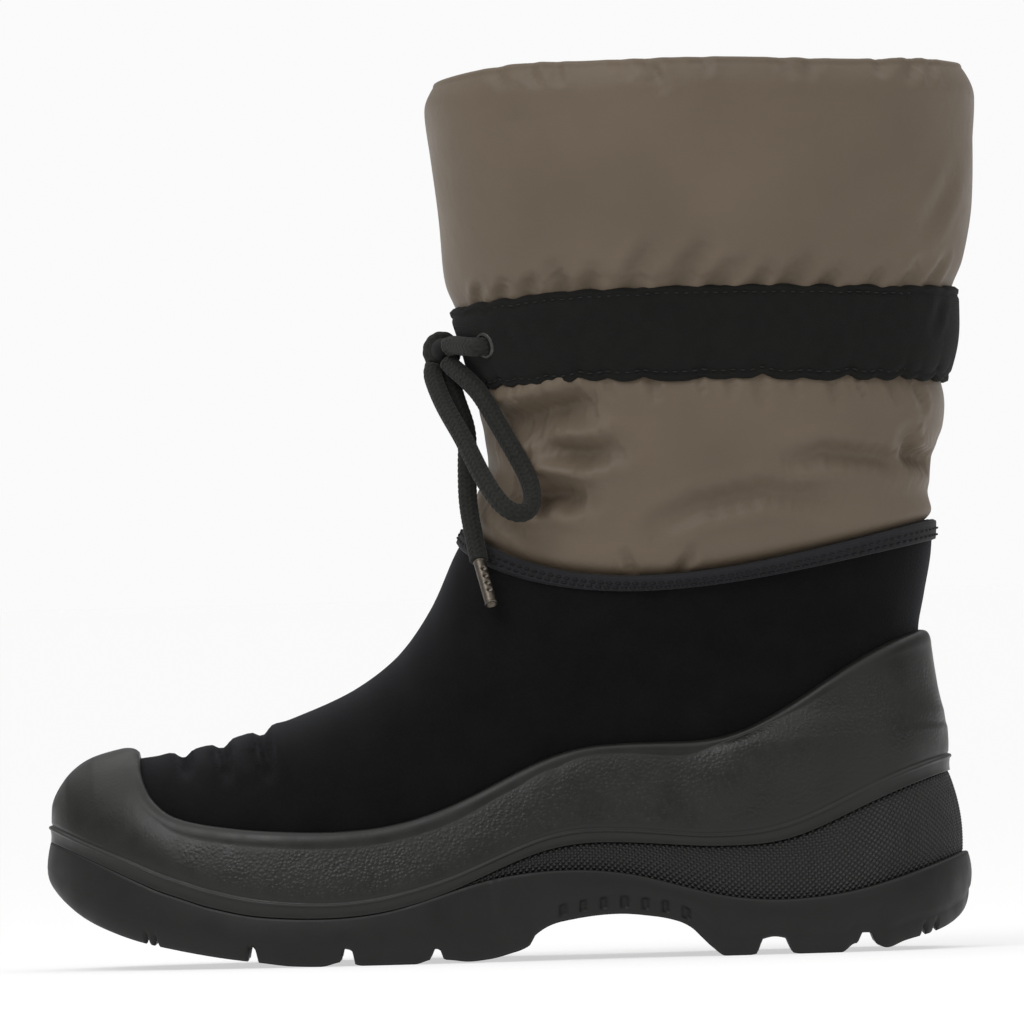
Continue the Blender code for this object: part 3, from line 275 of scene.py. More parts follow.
def form(turn, level):
    """Points of the form, the outside of textile, shaft and cuff."""
    turn, level = np.broadcast_arrays(np.asarray(turn, float), np.asarray(level, float))
    share, side = around(turn)
    front_x, front_z = (smooth(LEVEL, FRONT[:, k], level) for k in (0, 1))
    back_x, back_z = (smooth(LEVEL, BACK[:, k], level) for k in (0, 1))
    x = front_x + share * (back_x - front_x)
    toe = slice(0, TOE_RING + 1)
    toe_end = smooth(LEVEL[toe], FRONT[toe, 0], np.minimum(level, LEVEL[TOE_RING]))
    along = np.clip((x - toe_end) / (back_x - toe_end), 0, 1)
    bed = FOOT_HEIGHT * smooth(PLAN_TABLE["along"], PLAN_TABLE["bed"], along)
    straight = FRONT[0, 1] + share * (BACK[0, 1] - FRONT[0, 1])
    dip = smooth(LEVEL, RING_TABLE["dip"], level) * FOOT_HEIGHT * np.sin(math.pi * share**DIP_PEAK)
    bedded = smooth(LEVEL, RING_TABLE["bed"], level)
    z = front_z + share * (back_z - front_z) + dip + bedded * (bed - straight)
    vamp = slice(TOE_RING, THROAT_RING + 1)
    roof = np.interp(x, FRONT[vamp, 0], FRONT[vamp, 1])
    roof = roof + THROAT_SLOPE * np.maximum(x - FRONT[THROAT_RING, 0], 0)
    widest = WIDEST_HEIGHT * FOOT_HEIGHT
    rise = np.clip((z - widest) / np.maximum(roof - widest, 1e-6), 0, 1)
    dome = np.maximum(1 - rise**DOME_POWER, 0) ** (1 / DOME_POWER)
    table = PLAN_TABLE["along"]
    fullness = smooth(table, PLAN_TABLE["half_width"] / np.sqrt(table * (1 - table)), along)
    foot = BALL_WIDTH * fullness * np.sqrt(along * (1 - along)) * dome
    shaft = (1 - np.abs(2 * share - 1) ** OVAL_POWER) ** (1 / OVAL_POWER)
    oval = BALL_WIDTH * smooth(LEVEL, RING_TABLE["oval"], level) * shaft
    shaft_share = smooth(LEVEL, RING_TABLE["form"], level)
    centre = BALL_WIDTH * smooth(table, PLAN_TABLE["centre"], along)
    y = side * ((1 - shaft_share) * foot + shaft_share * oval) + (1 - shaft_share) * centre
    return np.stack([x - MIDDLE_X, y, z], axis=-1)


def outward(turn, level):
    """Unit normals of the form, pointing away from the foot."""
    small = 1e-4
    turn, level = np.broadcast_arrays(np.asarray(turn, float), np.asarray(level, float))
    low, high = np.clip(level - small, 0, 1), np.clip(level + small, 0, 1)
    along = form((turn + small) % 1, level) - form((turn - small) % 1, level)
    normal = np.cross(along, form(turn, high) - form(turn, low))
    return normal / np.maximum(np.linalg.norm(normal, axis=-1, keepdims=True), 1e-12)


def offset(turn, level, distance):
    """Points at a distance outward from the form."""
    return form(turn, level) + outward(turn, level) * np.asarray(distance)[..., None]


def feather(turn, spread):
    """The form's lowest ring, moved outward in plan by a distance."""
    turn = np.asarray(turn, float)
    small = 1e-4
    along = form((turn + small) % 1, 0) - form((turn - small) % 1, 0)
    flat = np.stack([along[:, 1], -along[:, 0], np.zeros(len(turn))], axis=1)
    flat /= np.linalg.norm(flat, axis=1, keepdims=True)
    return form(turn, 0) + flat * np.broadcast_to(spread, turn.shape)[:, None]


def at_height(points, z):
    """The points moved to these heights."""
    return np.concatenate([points[:, :2], np.broadcast_to(z, len(points))[:, None]], axis=1)


def run_length(points):
    """Length walked along a row of points, at each of them."""
    return np.concatenate([[0], np.cumsum(np.linalg.norm(np.diff(points, axis=0), axis=1))])


def add_piece(name, points, faces, material, coordinates=None):
    """One piece that rides on the boot. coordinates: a pair in metres for each corner of each face."""
    mesh = bpy.data.meshes.new(name)
    mesh.from_pydata(np.asarray(points).tolist(), [], faces)
    if coordinates is not None:
        layer = mesh.uv_layers.new(name="cloth")
        layer.data.foreach_set("uv", np.asarray(coordinates, np.float32).ravel())
    mesh.shade_smooth()
    mesh.materials.append(material)
    piece = bpy.data.objects.new(name, mesh)
    bpy.context.scene.collection.objects.link(piece)
    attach(piece, "root")
    return piece


def grid_faces(rows, count, round_boot=True, closed=False):
    """Quads between rings, joined all round the boot, and from the last ring to the first where closed."""
    low = np.arange(rows if closed else rows - 1)[:, None]
    i = np.arange(count if round_boot else count - 1)[None, :]
    high, j = (low + 1) % rows, (i + 1) % count
    faces = [low * count + i, low * count + j, high * count + j, high * count + i]
    return np.stack(faces, axis=-1).reshape(-1, 4)


def end_caps(start, rows, count):
    """The faces that close the first and the last ring of a tube, whose points begin at start."""
    last = start + (rows - 1) * count
    return [tuple(range(start, start + count))[::-1], tuple(range(last, last + count))]


def loft(name, rings, material, closed=False, extra_faces=()):
    """A skin over rings from low to high, each with the same stations round the boot."""
    rings = np.asarray(rings)
    rows, count = rings.shape[:2]
    along = np.linalg.norm(np.roll(rings, -1, axis=1) - rings, axis=2).mean(axis=0)
    u = np.concatenate([[0], np.cumsum(along)])
    v = np.concatenate([[0], np.cumsum(np.linalg.norm(np.diff(rings, axis=0), axis=2).mean(axis=1))])
    v = np.append(v, v[-1])
    low = np.arange(rows if closed else rows - 1)[:, None]
    i = np.arange(count)[None, :]
    corners = [(i, low), (i + 1, low), (i + 1, low + 1), (i, low + 1)]
    pairs = [np.stack(np.broadcast_arrays(u[a], v[b]), axis=-1) for a, b in corners]
    uv = np.stack(pairs, axis=-2).reshape(-1, 2)
    faces = grid_faces(rows, count, closed=closed).tolist()
    if len(extra_faces):
        uv = np.concatenate([uv, np.zeros((sum(len(f) for f in extra_faces), 2))])
        faces += [list(f) for f in extra_faces]
    return add_piece(name, rings.reshape(-1, 3), faces, material, uv)


def new_material(name, colour, roughness, **sockets):
    """A Principled material, its node tree, its shader and a socket of the object's coordinates."""
    material = bpy.data.materials.new(name)
    material.use_nodes = True
    shader = material.node_tree.nodes["Principled BSDF"]
    shader.inputs["Base Color"].default_value = (*colour, 1)
    shader.inputs["Roughness"].default_value = roughness
    for socket, value in sockets.items():
        shader.inputs[socket.replace("_", " ")].default_value = value
    material.diffuse_color = (*colour, 1)
    where = add_node(material.node_tree, "TexCoord", {}).outputs["Object"]
    return material, material.node_tree, shader, where


def add_node(tree, kind, inputs, **settings):
    """A node with its settings, and each named input set to a value or linked from a socket."""
    node = tree.nodes.new("ShaderNode" + kind)
    for key, value in settings.items():
        setattr(node, key, value)
    for key, value in inputs.items():
        socket = node.inputs[key]
        if isinstance(value, bpy.types.NodeSocket):
            tree.links.new(value, socket)
        else:
            socket.default_value = value
    return node


def math_node(tree, operation, *values):
    return add_node(tree, "Math", dict(enumerate(values)), operation=operation).outputs[0]


def noise_field(tree, vector, scale, detail, **inputs):
    inputs |= {"Vector": vector, "Scale": scale, "Detail": detail}
    return add_node(tree, "TexNoise", inputs).outputs[0]


def remap(tree, value, low, high, new_low=0.0, new_high=1.0, **settings):
    inputs = dict(enumerate((value, low, high, new_low, new_high)))
    return add_node(tree, "MapRange", inputs, **settings).outputs[0]


def link(tree, shader, **sockets):
    """Sources linked to the shader's sockets, named with an underscore for each space."""
    for socket, source in sockets.items():
        tree.links.new(source, shader.inputs[socket.replace("_", " ")])


def blend(tree, share, colour_a, colour_b):
    """Two colours, or sockets of colours, mixed by a share."""
    inputs = {"Factor": share}
    for key, colour in ((6, colour_a), (7, colour_b)):
        inputs[key] = (*colour, 1) if isinstance(colour, tuple) else colour
    return add_node(tree, "Mix", inputs, data_type="RGBA").outputs[2]


def bump(tree, height_socket, strength, distance, below=None):
    node = add_node(tree, "Bump", {"Height": height_socket, "Strength": strength, "Distance": distance})
    if below is not None:
        tree.links.new(below, node.inputs["Normal"])
    return node.outputs[0]


def new_group(name, inputs, outputs):
    """An empty node group with named sockets, and the sockets that it is given and that it puts out."""
    tree = bpy.data.node_groups.new(name, "ShaderNodeTree")
    for way, sockets in (("INPUT", inputs), ("OUTPUT", outputs)):
        for word, kind in sockets.items():
            tree.interface.new_socket(word, in_out=way, socket_type="NodeSocket" + kind)
    return tree, tree.nodes.new("NodeGroupInput").outputs, tree.nodes.new("NodeGroupOutput").inputs


def mottle_group():
    """Two close colours mixed by a soft noise."""
    sockets = {"Vector": "Vector", "Scale": "Float", "Colour A": "Color", "Colour B": "Color"}
    tree, given, put_out = new_group("mottle", sockets, {"Colour": "Color"})
    field = noise_field(tree, given["Vector"], given["Scale"], 3.0)
    spread = remap(tree, field, 0.3, 0.7)
    tree.links.new(blend(tree, spread, given["Colour A"], given["Colour B"]), put_out["Colour"])
    return tree


def cast_group():
    """The faint unevenness of cast rubber: a change of roughness and a normal."""
    tree, given, put_out = new_group("cast_texture", {"Vector": "Vector", "Roughness": "Float"},
                                     {"Roughness": "Float", "Normal": "Vector"})
    fine = noise_field(tree, given["Vector"], 1800.0, 2.0)
    broad = noise_field(tree, given["Vector"], 120.0, 3.0)
    change = remap(tree, broad, 0.3, 0.7, -0.06, 0.08)
    tree.links.new(math_node(tree, "ADD", change, given["Roughness"]), put_out["Roughness"])
    first = bump(tree, broad, strength=0.25, distance=0.0006)
    tree.links.new(bump(tree, fine, strength=0.35, distance=0.00006, below=first), put_out["Normal"])
    return tree


MOTTLE, CAST_TEXTURE = mottle_group(), cast_group()


def mottle(tree, coordinates, colour_a, colour_b, scale):
    inputs = {"Vector": coordinates, "Scale": scale, "Colour A": (*colour_a, 1), "Colour B": (*colour_b, 1)}
    return add_node(tree, "Group", inputs, node_tree=MOTTLE).outputs[0]


def moulded_rubber(name, colour_a, colour_b, roughness):
    """Dark satin rubber with a faint cast texture, used for outsole, wedge and shell."""
    material, tree, shader, where = new_material(name, colour_a, roughness, Specular_IOR_Level=0.34)
    cast = add_node(tree, "Group", {"Vector": where, "Roughness": roughness}, node_tree=CAST_TEXTURE).outputs
    link(tree, shader, Base_Color=mottle(tree, where, colour_a, colour_b, scale=60.0),
         Roughness=cast["Roughness"], Normal=cast["Normal"])
    return material, tree, shader, where, cast["Normal"]


TOE_WELT, HEEL_WELT, GROOVE_DEPTH = 0.0074, 0.0098, 0.0006
OUTSOLE_BELLY, HEEL_FLARE, FLARE_FROM, FLARE_OVER = 0.0019, 0.0062, 0.45, 0.40
EDGE_RISE, EDGE_INSET, SIDE_FULLNESS, BELLY_HEIGHT, LIP = 0.0058, 0.0028, 0.84, 0.45, 0.0004
CHANNEL_DEPTH, CHANNEL_RUNS = 0.0030, ((0.14, 0.50), (0.73, 0.95))
POCKET_COUNT, POCKET_PITCH, POCKET_MIDDLE, POCKET_DEPTH = 7, 0.0063, 0.627, 0.0014
POCKET_HALF, POCKET_LOW, POCKET_HIGH = 0.0014, 0.0016, 0.0058  # half width, and ends above the tread
WEDGE_START = 0.488


def even_turns(count):
    return np.arange(count) / count


def welt(turns):
    return TOE_WELT + (HEEL_WELT - TOE_WELT) * around(turns)[0] ** 2


def underside(x):
    return FOOT_HEIGHT * smooth(UNDER_X, UNDER_Z, sole_share(x))


def notch_depth(x):
    """Depth of the notches between the lugs at the tread's edge."""
    share, deep = sole_share(x), 0.0
    for middle, half, slope, depth in NOTCHES:
        deep = deep + depth * np.clip((half - np.abs(share - middle)) / slope, 0, 1)
    return FOOT_HEIGHT * deep


def pockets(x, above):
    """Depth of the small pockets pressed into the side of the arch, at a height above its edge."""
    phase = (sole_share(x) - POCKET_MIDDLE) * SOLE_LENGTH / POCKET_PITCH
    near = np.abs(phase - np.round(phase)) * POCKET_PITCH
    row = np.clip((POCKET_HALF - near) / 0.0004, 0, 1) * (np.abs(phase) < POCKET_COUNT / 2)
    ends = np.clip((above - POCKET_LOW) / 0.0006, 0, 1) * np.clip((POCKET_HIGH - above) / 0.0008, 0, 1)
    return POCKET_DEPTH * row * ends


def make_outsole(material):
    """Side of the outsole from the tread's edge up to its lip, and the tread across the bottom."""
    turns = even_turns(1000)
    edge = welt(turns)
    grown = np.clip((around(turns)[0] - FLARE_FROM) / FLARE_OVER, 0, 1)
    flare = OUTSOLE_BELLY + (HEEL_FLARE - OUTSOLE_BELLY) * grown
    x = feather(turns, edge)[:, 0]
    wedged = np.clip((sole_share(x) - WEDGE_START + 0.004) / 0.008, 0, 1)
    ledge = line_height("wedge_low", x) - 0.0003
    lip = LIP + (flare * SIDE_FULLNESS - LIP) * wedged
    base = feather(turns, edge + flare - EDGE_INSET)
    plain = underside(base[:, 0])
    bottom = plain + notch_depth(base[:, 0])
    shoulder = np.maximum(plain + np.minimum(EDGE_RISE, BELLY_HEIGHT * (ledge - plain)), bottom + 0.0008)
    rows = []
    for share in np.linspace(0, 1, 12):
        bulge = math.sin(share * math.pi / 2) ** 0.55
        spread = edge + flare - EDGE_INSET + (flare * SIDE_FULLNESS - flare + EDGE_INSET) * bulge
        z = bottom + (shoulder - bottom) * share
        rows.append(at_height(feather(turns, spread - pockets(x, z - bottom)), z))
    for share in np.linspace(0.1, 1, 14):
        belly = 1 - ((share - BELLY_HEIGHT) / max(BELLY_HEIGHT, 1 - BELLY_HEIGHT)) ** 2
        spread = flare * SIDE_FULLNESS + (lip - flare * SIDE_FULLNESS) * share
        spread = spread + flare * (1 - SIDE_FULLNESS) * max(belly, 0)
        z = shoulder + (ledge - shoulder) * share
        rows.append(at_height(feather(turns, edge + spread - pockets(x, z - bottom)), z))
    rows.append(at_height(feather(turns, edge + lip - 0.0005), ledge + 0.0003))
    rows.append(at_height(feather(turns, edge - 0.004), ledge))
    count, half = len(turns), len(turns) // 2
    middle = np.linspace(0.41, 0.59, 11)  # closer together over the channel
    shares = np.concatenate([np.linspace(0.02, 0.40, 8), middle, np.linspace(0.60, 0.98, 8)])
    wide, start = len(shares), len(rows) * count
    points, faces = [], []
    for i in range(1, half):
        near, far = rows[0][i], rows[0][-i]
        line = near + (far - near) * shares[:, None]
        along = sole_share(line[0, 0])
        channelled = any(low < along < high for low, high in CHANNEL_RUNS)
        channel = CHANNEL_DEPTH * np.clip((0.08 - np.abs(shares - 0.5)) / 0.02, 0, 1) * channelled
        line[:, 2] = underside(line[:, 0]) + np.maximum(notch_depth(line[:, 0]), channel)
        points.append(line)
    for i in range(1, half - 1):
        a, b = start + (i - 1) * wide, start + i * wide
        faces.append((i, a, b, i + 1))
        faces += [(a + k, a + k + 1, b + k + 1, b + k) for k in range(wide - 1)]
        faces.append((a + wide - 1, count - i, count - i - 1, b + wide - 1))
    first, last = start, start + (half - 2) * wide
    faces.append((0, *range(first + wide - 1, first - 1, -1), 1)[::-1])
    faces.append((0, count - 1, first + wide - 1))
    faces.append((half - 1, *range(last, last + wide), half + 1, half))
    every = np.concatenate([*rows, *points])
    under = [tuple(face[::-1]) for face in faces]
    side = grid_faces(len(rows), count).tolist()
    return add_piece("outsole_fine", every, side + under, material)


SOLE_COLOURS = (0.0034, 0.0035, 0.0030), (0.0052, 0.0053, 0.0046)
outsole = make_outsole(moulded_rubber("outsole_rubber_fine", *SOLE_COLOURS, roughness=0.50)[0])
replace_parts(outsole, "outsole")


# Heel wedge
# The insert between outsole and shell, from arch to heel. Its side carries a fine pattern of raised
# diamonds, moulded in, that runs to a thin point in the arch.
DIAMOND_WIDE, DIAMOND_HIGH, DIAMOND_RELIEF = 0.0019, 0.0018, 0.00035
WEDGE_FLARE, WEDGE_TIP = 0.0042, 0.425


def make_wedge(material):
    dense = even_turns(6000)
    ring = feather(dense, welt(dense))
    length = run_length(ring)
    kept = np.where(sole_share(ring[:, 0]) > WEDGE_TIP)[0]
    first, last = length[kept[0]], length[kept[-1]]
    along = np.linspace(first, last, int((last - first) / (DIAMOND_WIDE / 4.5)))
    turns = np.interp(along, length, dense)
    edge = welt(turns)
    x = feather(turns, edge)[:, 0]
    low = line_height("wedge_low", x) - 0.0002
    high = np.maximum(line_height("bead_low", x) + 0.0002, low)
    flare = WEDGE_FLARE * np.clip((around(turns)[0] - FLARE_FROM) / FLARE_OVER, 0, 1)
    rows, ups = [at_height(feather(turns, 0), low)], [low * 0]
    for k in np.linspace(0, 1, 58):
        up = (high - low) * k
        diamond = np.sin(math.pi * (along / DIAMOND_WIDE + up / DIAMOND_HIGH))
        diamond = diamond * np.sin(math.pi * (along / DIAMOND_WIDE - up / DIAMOND_HIGH))
        edges = np.clip((high - low - up) / 0.0006, 0, 1) * np.clip(up / 0.0006, 0, 1)
        bulge = flare * math.sin(math.pi / 2 * (1 - k)) ** 0.8 + 0.0005 * math.sin(math.pi * k)
        spread = edge + bulge - 0.0009 + DIAMOND_RELIEF * np.abs(diamond) ** 0.7 * edges
        rows.append(at_height(feather(turns, spread), low + up))
        ups.append(up)
    rows.append(at_height(feather(turns, 0), high))
    ups.append(high - low)
    faces = grid_faces(len(rows), len(turns), round_boot=False)
    flat = faces.ravel()
    uv = np.stack([along[flat % len(turns)], np.concatenate(ups)[flat]], axis=-1)
    return add_piece("heel_wedge_fine", np.concatenate(rows), faces.tolist(), material, uv)


def diamond_material():
    """Rubber with raised diamonds: the same two sets of slanting grooves as the mesh, drawn finer, with
    painted shade in the grooves and a painted highlight on the diamonds' tops.
    """
    colours = (0.0085, 0.0087, 0.0082), (0.0110, 0.0112, 0.0105)
    material, tree, shader, _, normal = moulded_rubber("diamond_rubber", *colours, roughness=0.48)
    cloth = add_node(tree, "UVMap", {}, uv_map="cloth").outputs[0]
    split = add_node(tree, "SeparateXYZ", {0: cloth})
    wide = math_node(tree, "MULTIPLY", split.outputs[0], math.pi / DIAMOND_WIDE)
    high = math_node(tree, "MULTIPLY", split.outputs[1], math.pi / DIAMOND_HIGH)
    grooves = []
    for operation in ("ADD", "SUBTRACT"):
        wave = math_node(tree, "SINE", math_node(tree, operation, wide, high))
        grooves.append(math_node(tree, "ABSOLUTE", wave))
    crossed = math_node(tree, "MULTIPLY", *grooves)
    # Painted shade and highlight: the colour is darkened in the grooves between the diamonds and lightened on
    # their tops.
    painted_shade_and_highlight = remap(tree, crossed, 0.0, 0.75)
    link(tree, shader, Base_Color=blend(tree, painted_shade_and_highlight, (0.0025, 0.0026, 0.0024), (0.0150, 0.0153, 0.0143)),
         Normal=bump(tree, crossed, strength=0.9, distance=0.0004, below=normal))
    return material


wedge = make_wedge(diamond_material())
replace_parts(wedge, "heel_wedge")


# Shell
# The moulded galosh in one piece: toe cap, side walls and heel counter, with a soft rounded rim, a bead all
# round its foot, and a leather-like grain cast into its sides.
GAP, RIM_WALL, RIM_ROUND = 0.0003, 0.0037, 0.0050
BEAD_DEPTH, BAND_DEPTH, WALL_CURVE = 0.0009, 0.00035, 1.5
TURNS = even_turns(600)
WELT = welt(TURNS)


def level_at(turn, test):
    """The first level of each column where test(points) stops being negative."""
    levels = np.linspace(0, LEVEL_OF["upper_top"], 400)
    value = test(form(np.asarray(turn)[:, None], levels[None, :]))
    past = np.argmax(value >= 0, axis=1)
    before = np.maximum(past - 1, 0)
    rows = np.arange(len(past))
    a, b = value[rows, before], value[rows, past]
    share = np.where(past > 0, -a / np.where(past > 0, b - a, 1), 0)
    return levels[before] + share * (levels[past] - levels[before])


def step_back(turn, level, distance):
    """The level that lies this far below a level, measured on the form."""
    small = 1e-3
    speed = np.linalg.norm(form(turn, level) - form(turn, level - small), axis=-1) / small
    return level - distance / speed


RIM_LEVEL = level_at(TURNS, lambda p: p[..., 2] - line_height("rim", p[..., 0]))
BEAD_LEVEL = level_at(TURNS, lambda p: p[..., 2] - line_height("bead_top", p[..., 0]))


def make_shell():
    edge = feather(TURNS, WELT - GROOVE_DEPTH)
    low, top = line_height("bead_low", edge[:, 0]), line_height("bead_top", edge[:, 0])
    bead = top - low
    rows = [at_height(feather(TURNS, 0.0), low), at_height(edge, low)]
    for share in np.linspace(0.05, 0.99, 18):
        band = BAND_DEPTH * (1 - 0.5 * math.sin(math.pi * min(share / 0.7, 1)))
        ridge = BEAD_DEPTH * math.sqrt(max(0.0, 1 - ((share - 0.84) / 0.14) ** 2))
        spread = max(band, ridge) if share < 0.95 else ridge - GROOVE_DEPTH * 0.5
        rows.append(at_height(feather(TURNS, WELT + spread), low + bead * share))
    wall_foot = at_height(feather(TURNS, WELT), top + 0.0007)
    start = form(TURNS, BEAD_LEVEL)
    last = step_back(TURNS, RIM_LEVEL, RIM_ROUND)
    first_step, last_step = wall_foot - start, outward(TURNS, last) * (GAP + RIM_WALL)
    wall_row = len(rows)
    for share in np.linspace(0, 1, 44):
        level = BEAD_LEVEL + (last - BEAD_LEVEL) * share
        rows.append(form(TURNS, level) + first_step + (last_step - first_step) * share**WALL_CURVE)
    rim_row = len(rows)
    for angle in np.linspace(0.15, math.pi / 2, 12):
        back = RIM_ROUND * (1 - math.sin(angle))
        depth = GAP + RIM_WALL * math.cos(angle) ** 0.6
        rows.append(offset(TURNS, step_back(TURNS, RIM_LEVEL, back), depth))
    for back in (0.001, 0.004, 0.010):
        rows.append(offset(TURNS, step_back(TURNS, RIM_LEVEL, back), GAP * 0.5))
    climb = np.linalg.norm(np.diff(np.asarray(rows), axis=0), axis=2).mean(axis=1)
    up = np.concatenate([[0], np.cumsum(climb)])
    return loft("shell_fine", rows, shell_material(up[wall_row], up[rim_row]))


def shell_material(foot, top):
    """Cast leather grain of small rounded pebbles, faded out by bead, rim, toe cap and heel."""
    colours = (0.0080, 0.0082, 0.0070), (0.0112, 0.0114, 0.0098)
    material, tree, shader, where, normal = moulded_rubber("grained_rubber", *colours, roughness=0.40)
    pebbles = add_node(tree, "TexVoronoi", {"Vector": where, "Scale": 880.0, "Randomness": 0.95})
    domes = remap(tree, pebbles.outputs[0], 0.75, 0.10, interpolation_type="SMOOTHSTEP")
    uneven = noise_field(tree, where, 900.0, 2.0)
    both = math_node(tree, "MULTIPLY", domes, uneven)
    cloth = add_node(tree, "UVMap", {}, uv_map="cloth").outputs[0]
    up = add_node(tree, "SeparateXYZ", {0: cloth}).outputs[1]
    x = add_node(tree, "SeparateXYZ", {0: where}).outputs[0]
    tall = top - foot
    fades = ((up, foot + 0.01 * tall, foot + 0.12 * tall, 0.0), (up, top, top - 0.16 * tall, 0.0),
             (x, -0.112, -0.086, 0.20), (x, 0.128, 0.112, 0.35))
    mask = 1.0
    for socket, bare, full, least in fades:
        fade = remap(tree, socket, bare, full, least, interpolation_type="SMOOTHSTEP")
        mask = math_node(tree, "MULTIPLY", mask, fade)
    patches = noise_field(tree, where, 45.0, 1.0)
    patchy = remap(tree, patches, 0.3, 0.65, 0.55, 1.0)
    grain = math_node(tree, "MULTIPLY", both, math_node(tree, "MULTIPLY", mask, patchy))
    link(tree, shader, Normal=bump(tree, grain, strength=0.60, distance=0.00036, below=normal))
    return material


shell = make_shell()
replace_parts(shell, "shell")


# Upper
# The textile foot: a stretchy napped cloth over foam, cut in one piece, pulled over the last and glued into
# the shell. Three short grooves pressed across the toe leave four raised ribs.
UPPER_WALL = 0.0024
SNAP_STEP = 0.0012  # between the points that a trough is measured from


def snap(grid, side, route):
    """Points on a grid of the form that lie under a route seen from the side, in millimetres."""
    route = np.asarray(route, float) / 1000
    if len(route) == 1:
        route = np.vstack([route, route + 1e-5])
    length = run_length(route)
    at = np.linspace(0, length[-1], max(3, int(length[-1] / SNAP_STEP)))
    line = np.stack([np.interp(at, length, route[:, k]) for k in (0, 1)], axis=1)
    half = grid[:, : grid.shape[1] // 2 + 1] if side < 0 else grid[:, grid.shape[1] // 2:]
    flat = half.reshape(-1, 3)
    away = (flat[None, :, 0] - line[:, None, 0]) ** 2 + (flat[None, :, 2] - line[:, None, 1]) ** 2
    return flat[np.argmin(away, axis=1)]


def form_grid(levels):
    """Points of the form and their normals, at rows of levels all round the boot."""
    return form(TURNS[None, :], levels), outward(TURNS[None, :], levels)


RIDGE = 0.42  # height of the ridges beside a trough, as a share of its depth


def soft_lines(grid, lines):
    """How far a grid sinks under soft troughs with a low ridge on each side of them."""
    sunk = np.zeros(grid.shape[:2])
    for side, wide, deep, route in lines:
        points = snap(grid, side, route)
        box_low, box_high = points.min(axis=0) - wide * 0.004, points.max(axis=0) + wide * 0.004
        near = np.all((grid > box_low) & (grid < box_high), axis=-1)
        if not near.any():
            continue
        gap = grid[near][:, None, :] - points[None, :, :]
        far = np.linalg.norm(gap, axis=-1)
        best = np.argmin(far, axis=1)
        taper = np.sin(math.pi * (best + 0.5) / len(points)) ** 0.6 if len(points) > 3 else 1.0
        share = far[np.arange(len(far)), best] / (wide * 0.001)
        profile = np.exp(-share**2) - RIDGE * np.exp(-(((share - 1.9) / 0.8) ** 2))
        sunk[near] += deep * 0.001 * profile * taper
    return sunk


def rumple(grid, scale, depth, seed):
    """Broad soft unevenness of a padded cloth."""
    flat = grid.reshape(-1, 3) * scale + seed
    values = np.array([noise.noise(Vector(p)) for p in flat])
    return values.reshape(grid.shape[:2]) * depth


# Half width, depth, then the groove's middle in x and its upper and lower end in z, in millimetres
TOE_GROOVES = (
    (2.1, 1.5, (-103.5, 65.8, 57.0)),
    (2.1, 1.5, (-91.7, 70.1, 55.2)),
    (2.1, 1.5, (-79.2, 73.2, 54.9)),
)


def toe_ribs(grid):
    """Three grooves across the toe and the swelling of the ribs between them."""
    x, z = grid[..., 0], grid[..., 2]
    sunk = np.zeros(grid.shape[:2])
    for wide, deep, (middle, high, low) in TOE_GROOVES:
        lean = (high - z * 1000) * 0.14
        share = (x * 1000 - middle - lean) / wide
        fade = np.clip((z * 1000 - low) / 7, 0, 1)
        fade = fade * fade * (3 - 2 * fade)
        sunk += deep * 0.001 * np.exp(-share**4) * fade
        sunk -= deep * 0.00035 * np.exp(-((np.abs(share) - 2.2) / 1.1) ** 2) * fade
    return sunk


def make_upper(material):
    levels = np.concatenate([np.linspace(0.02, LEVEL_OF["vamp_3"], 66)[:-1],
                             np.linspace(LEVEL_OF["vamp_3"], LEVEL_OF["upper_top"], 44)])
    grid, normal = form_grid(levels[:, None])
    sunk = toe_ribs(grid) + rumple(grid, scale=22.0, depth=0.0005, seed=3.0)
    hem = np.clip((levels - levels[-1] + 0.012) / 0.012, 0, 1)[:, None] * 0.0004
    outer = grid - normal * (sunk * (levels > LEVEL_OF["toe_low"])[:, None] + hem)[..., None]
    back = np.arange(0, len(levels), 9)[::-1]
    inner = grid[back] - normal[back] * UPPER_WALL
    top = grid[-1] - normal[-1] * UPPER_WALL * 0.5
    top[:, 2] += 0.0003
    return loft("upper_fine", np.concatenate([outer, top[None], inner]), material)


def textile_material():
    """Black napped cloth: fine lint, a soft sheen at grazing angles, and a few paler fibres."""
    material, tree, shader, where = new_material(
        "napped_textile", (0.0030, 0.0030, 0.0032), 0.95, Specular_IOR_Level=0.10, Sheen_Weight=0.10,
        Sheen_Roughness=0.45, Sheen_Tint=(0.75, 0.76, 0.85, 1))
    nap = noise_field(tree, where, 1500.0, 4.0, Roughness=0.7)
    broad = noise_field(tree, where, 90.0, 3.0)
    both = add_node(tree, "Mix", {"Factor": 0.35, 2: nap, 3: broad}, data_type="FLOAT")
    spread = remap(tree, both.outputs[0], 0.36, 0.66)
    link(tree, shader, Base_Color=blend(tree, spread, (0.0020, 0.0020, 0.0022), (0.0050, 0.0050, 0.0053)),
         Normal=bump(tree, nap, strength=0.6, distance=0.00025))
    return material


upper = make_upper(textile_material())
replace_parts(upper, "upper")


# Insole
# The footbed inside the boot, punched from a sheet of grey felt and laid loose on the sole. Its solid keeps
# its shape here, and gets a felt with short fibres.
def lint_group():
    """The normal of short fibres that stand up from felt, thread or cord."""
    sockets = dict.fromkeys(("Scale", "Detail", "Strength", "Distance"), "Float")
    tree, given, put_out = new_group("lint", {"Vector": "Vector", **sockets}, {"Normal": "Vector"})
    fibres = noise_field(tree, given["Vector"], given["Scale"], given["Detail"])
    tree.links.new(bump(tree, fibres, given["Strength"], given["Distance"]), put_out["Normal"])
    return tree


LINT = lint_group()


def lint(tree, coordinates, scale, detail, strength, distance):
    inputs = {"Vector": coordinates, "Scale": scale, "Detail": detail}
    inputs |= {"Strength": strength, "Distance": distance}
    return add_node(tree, "Group", inputs, node_tree=LINT).outputs[0]


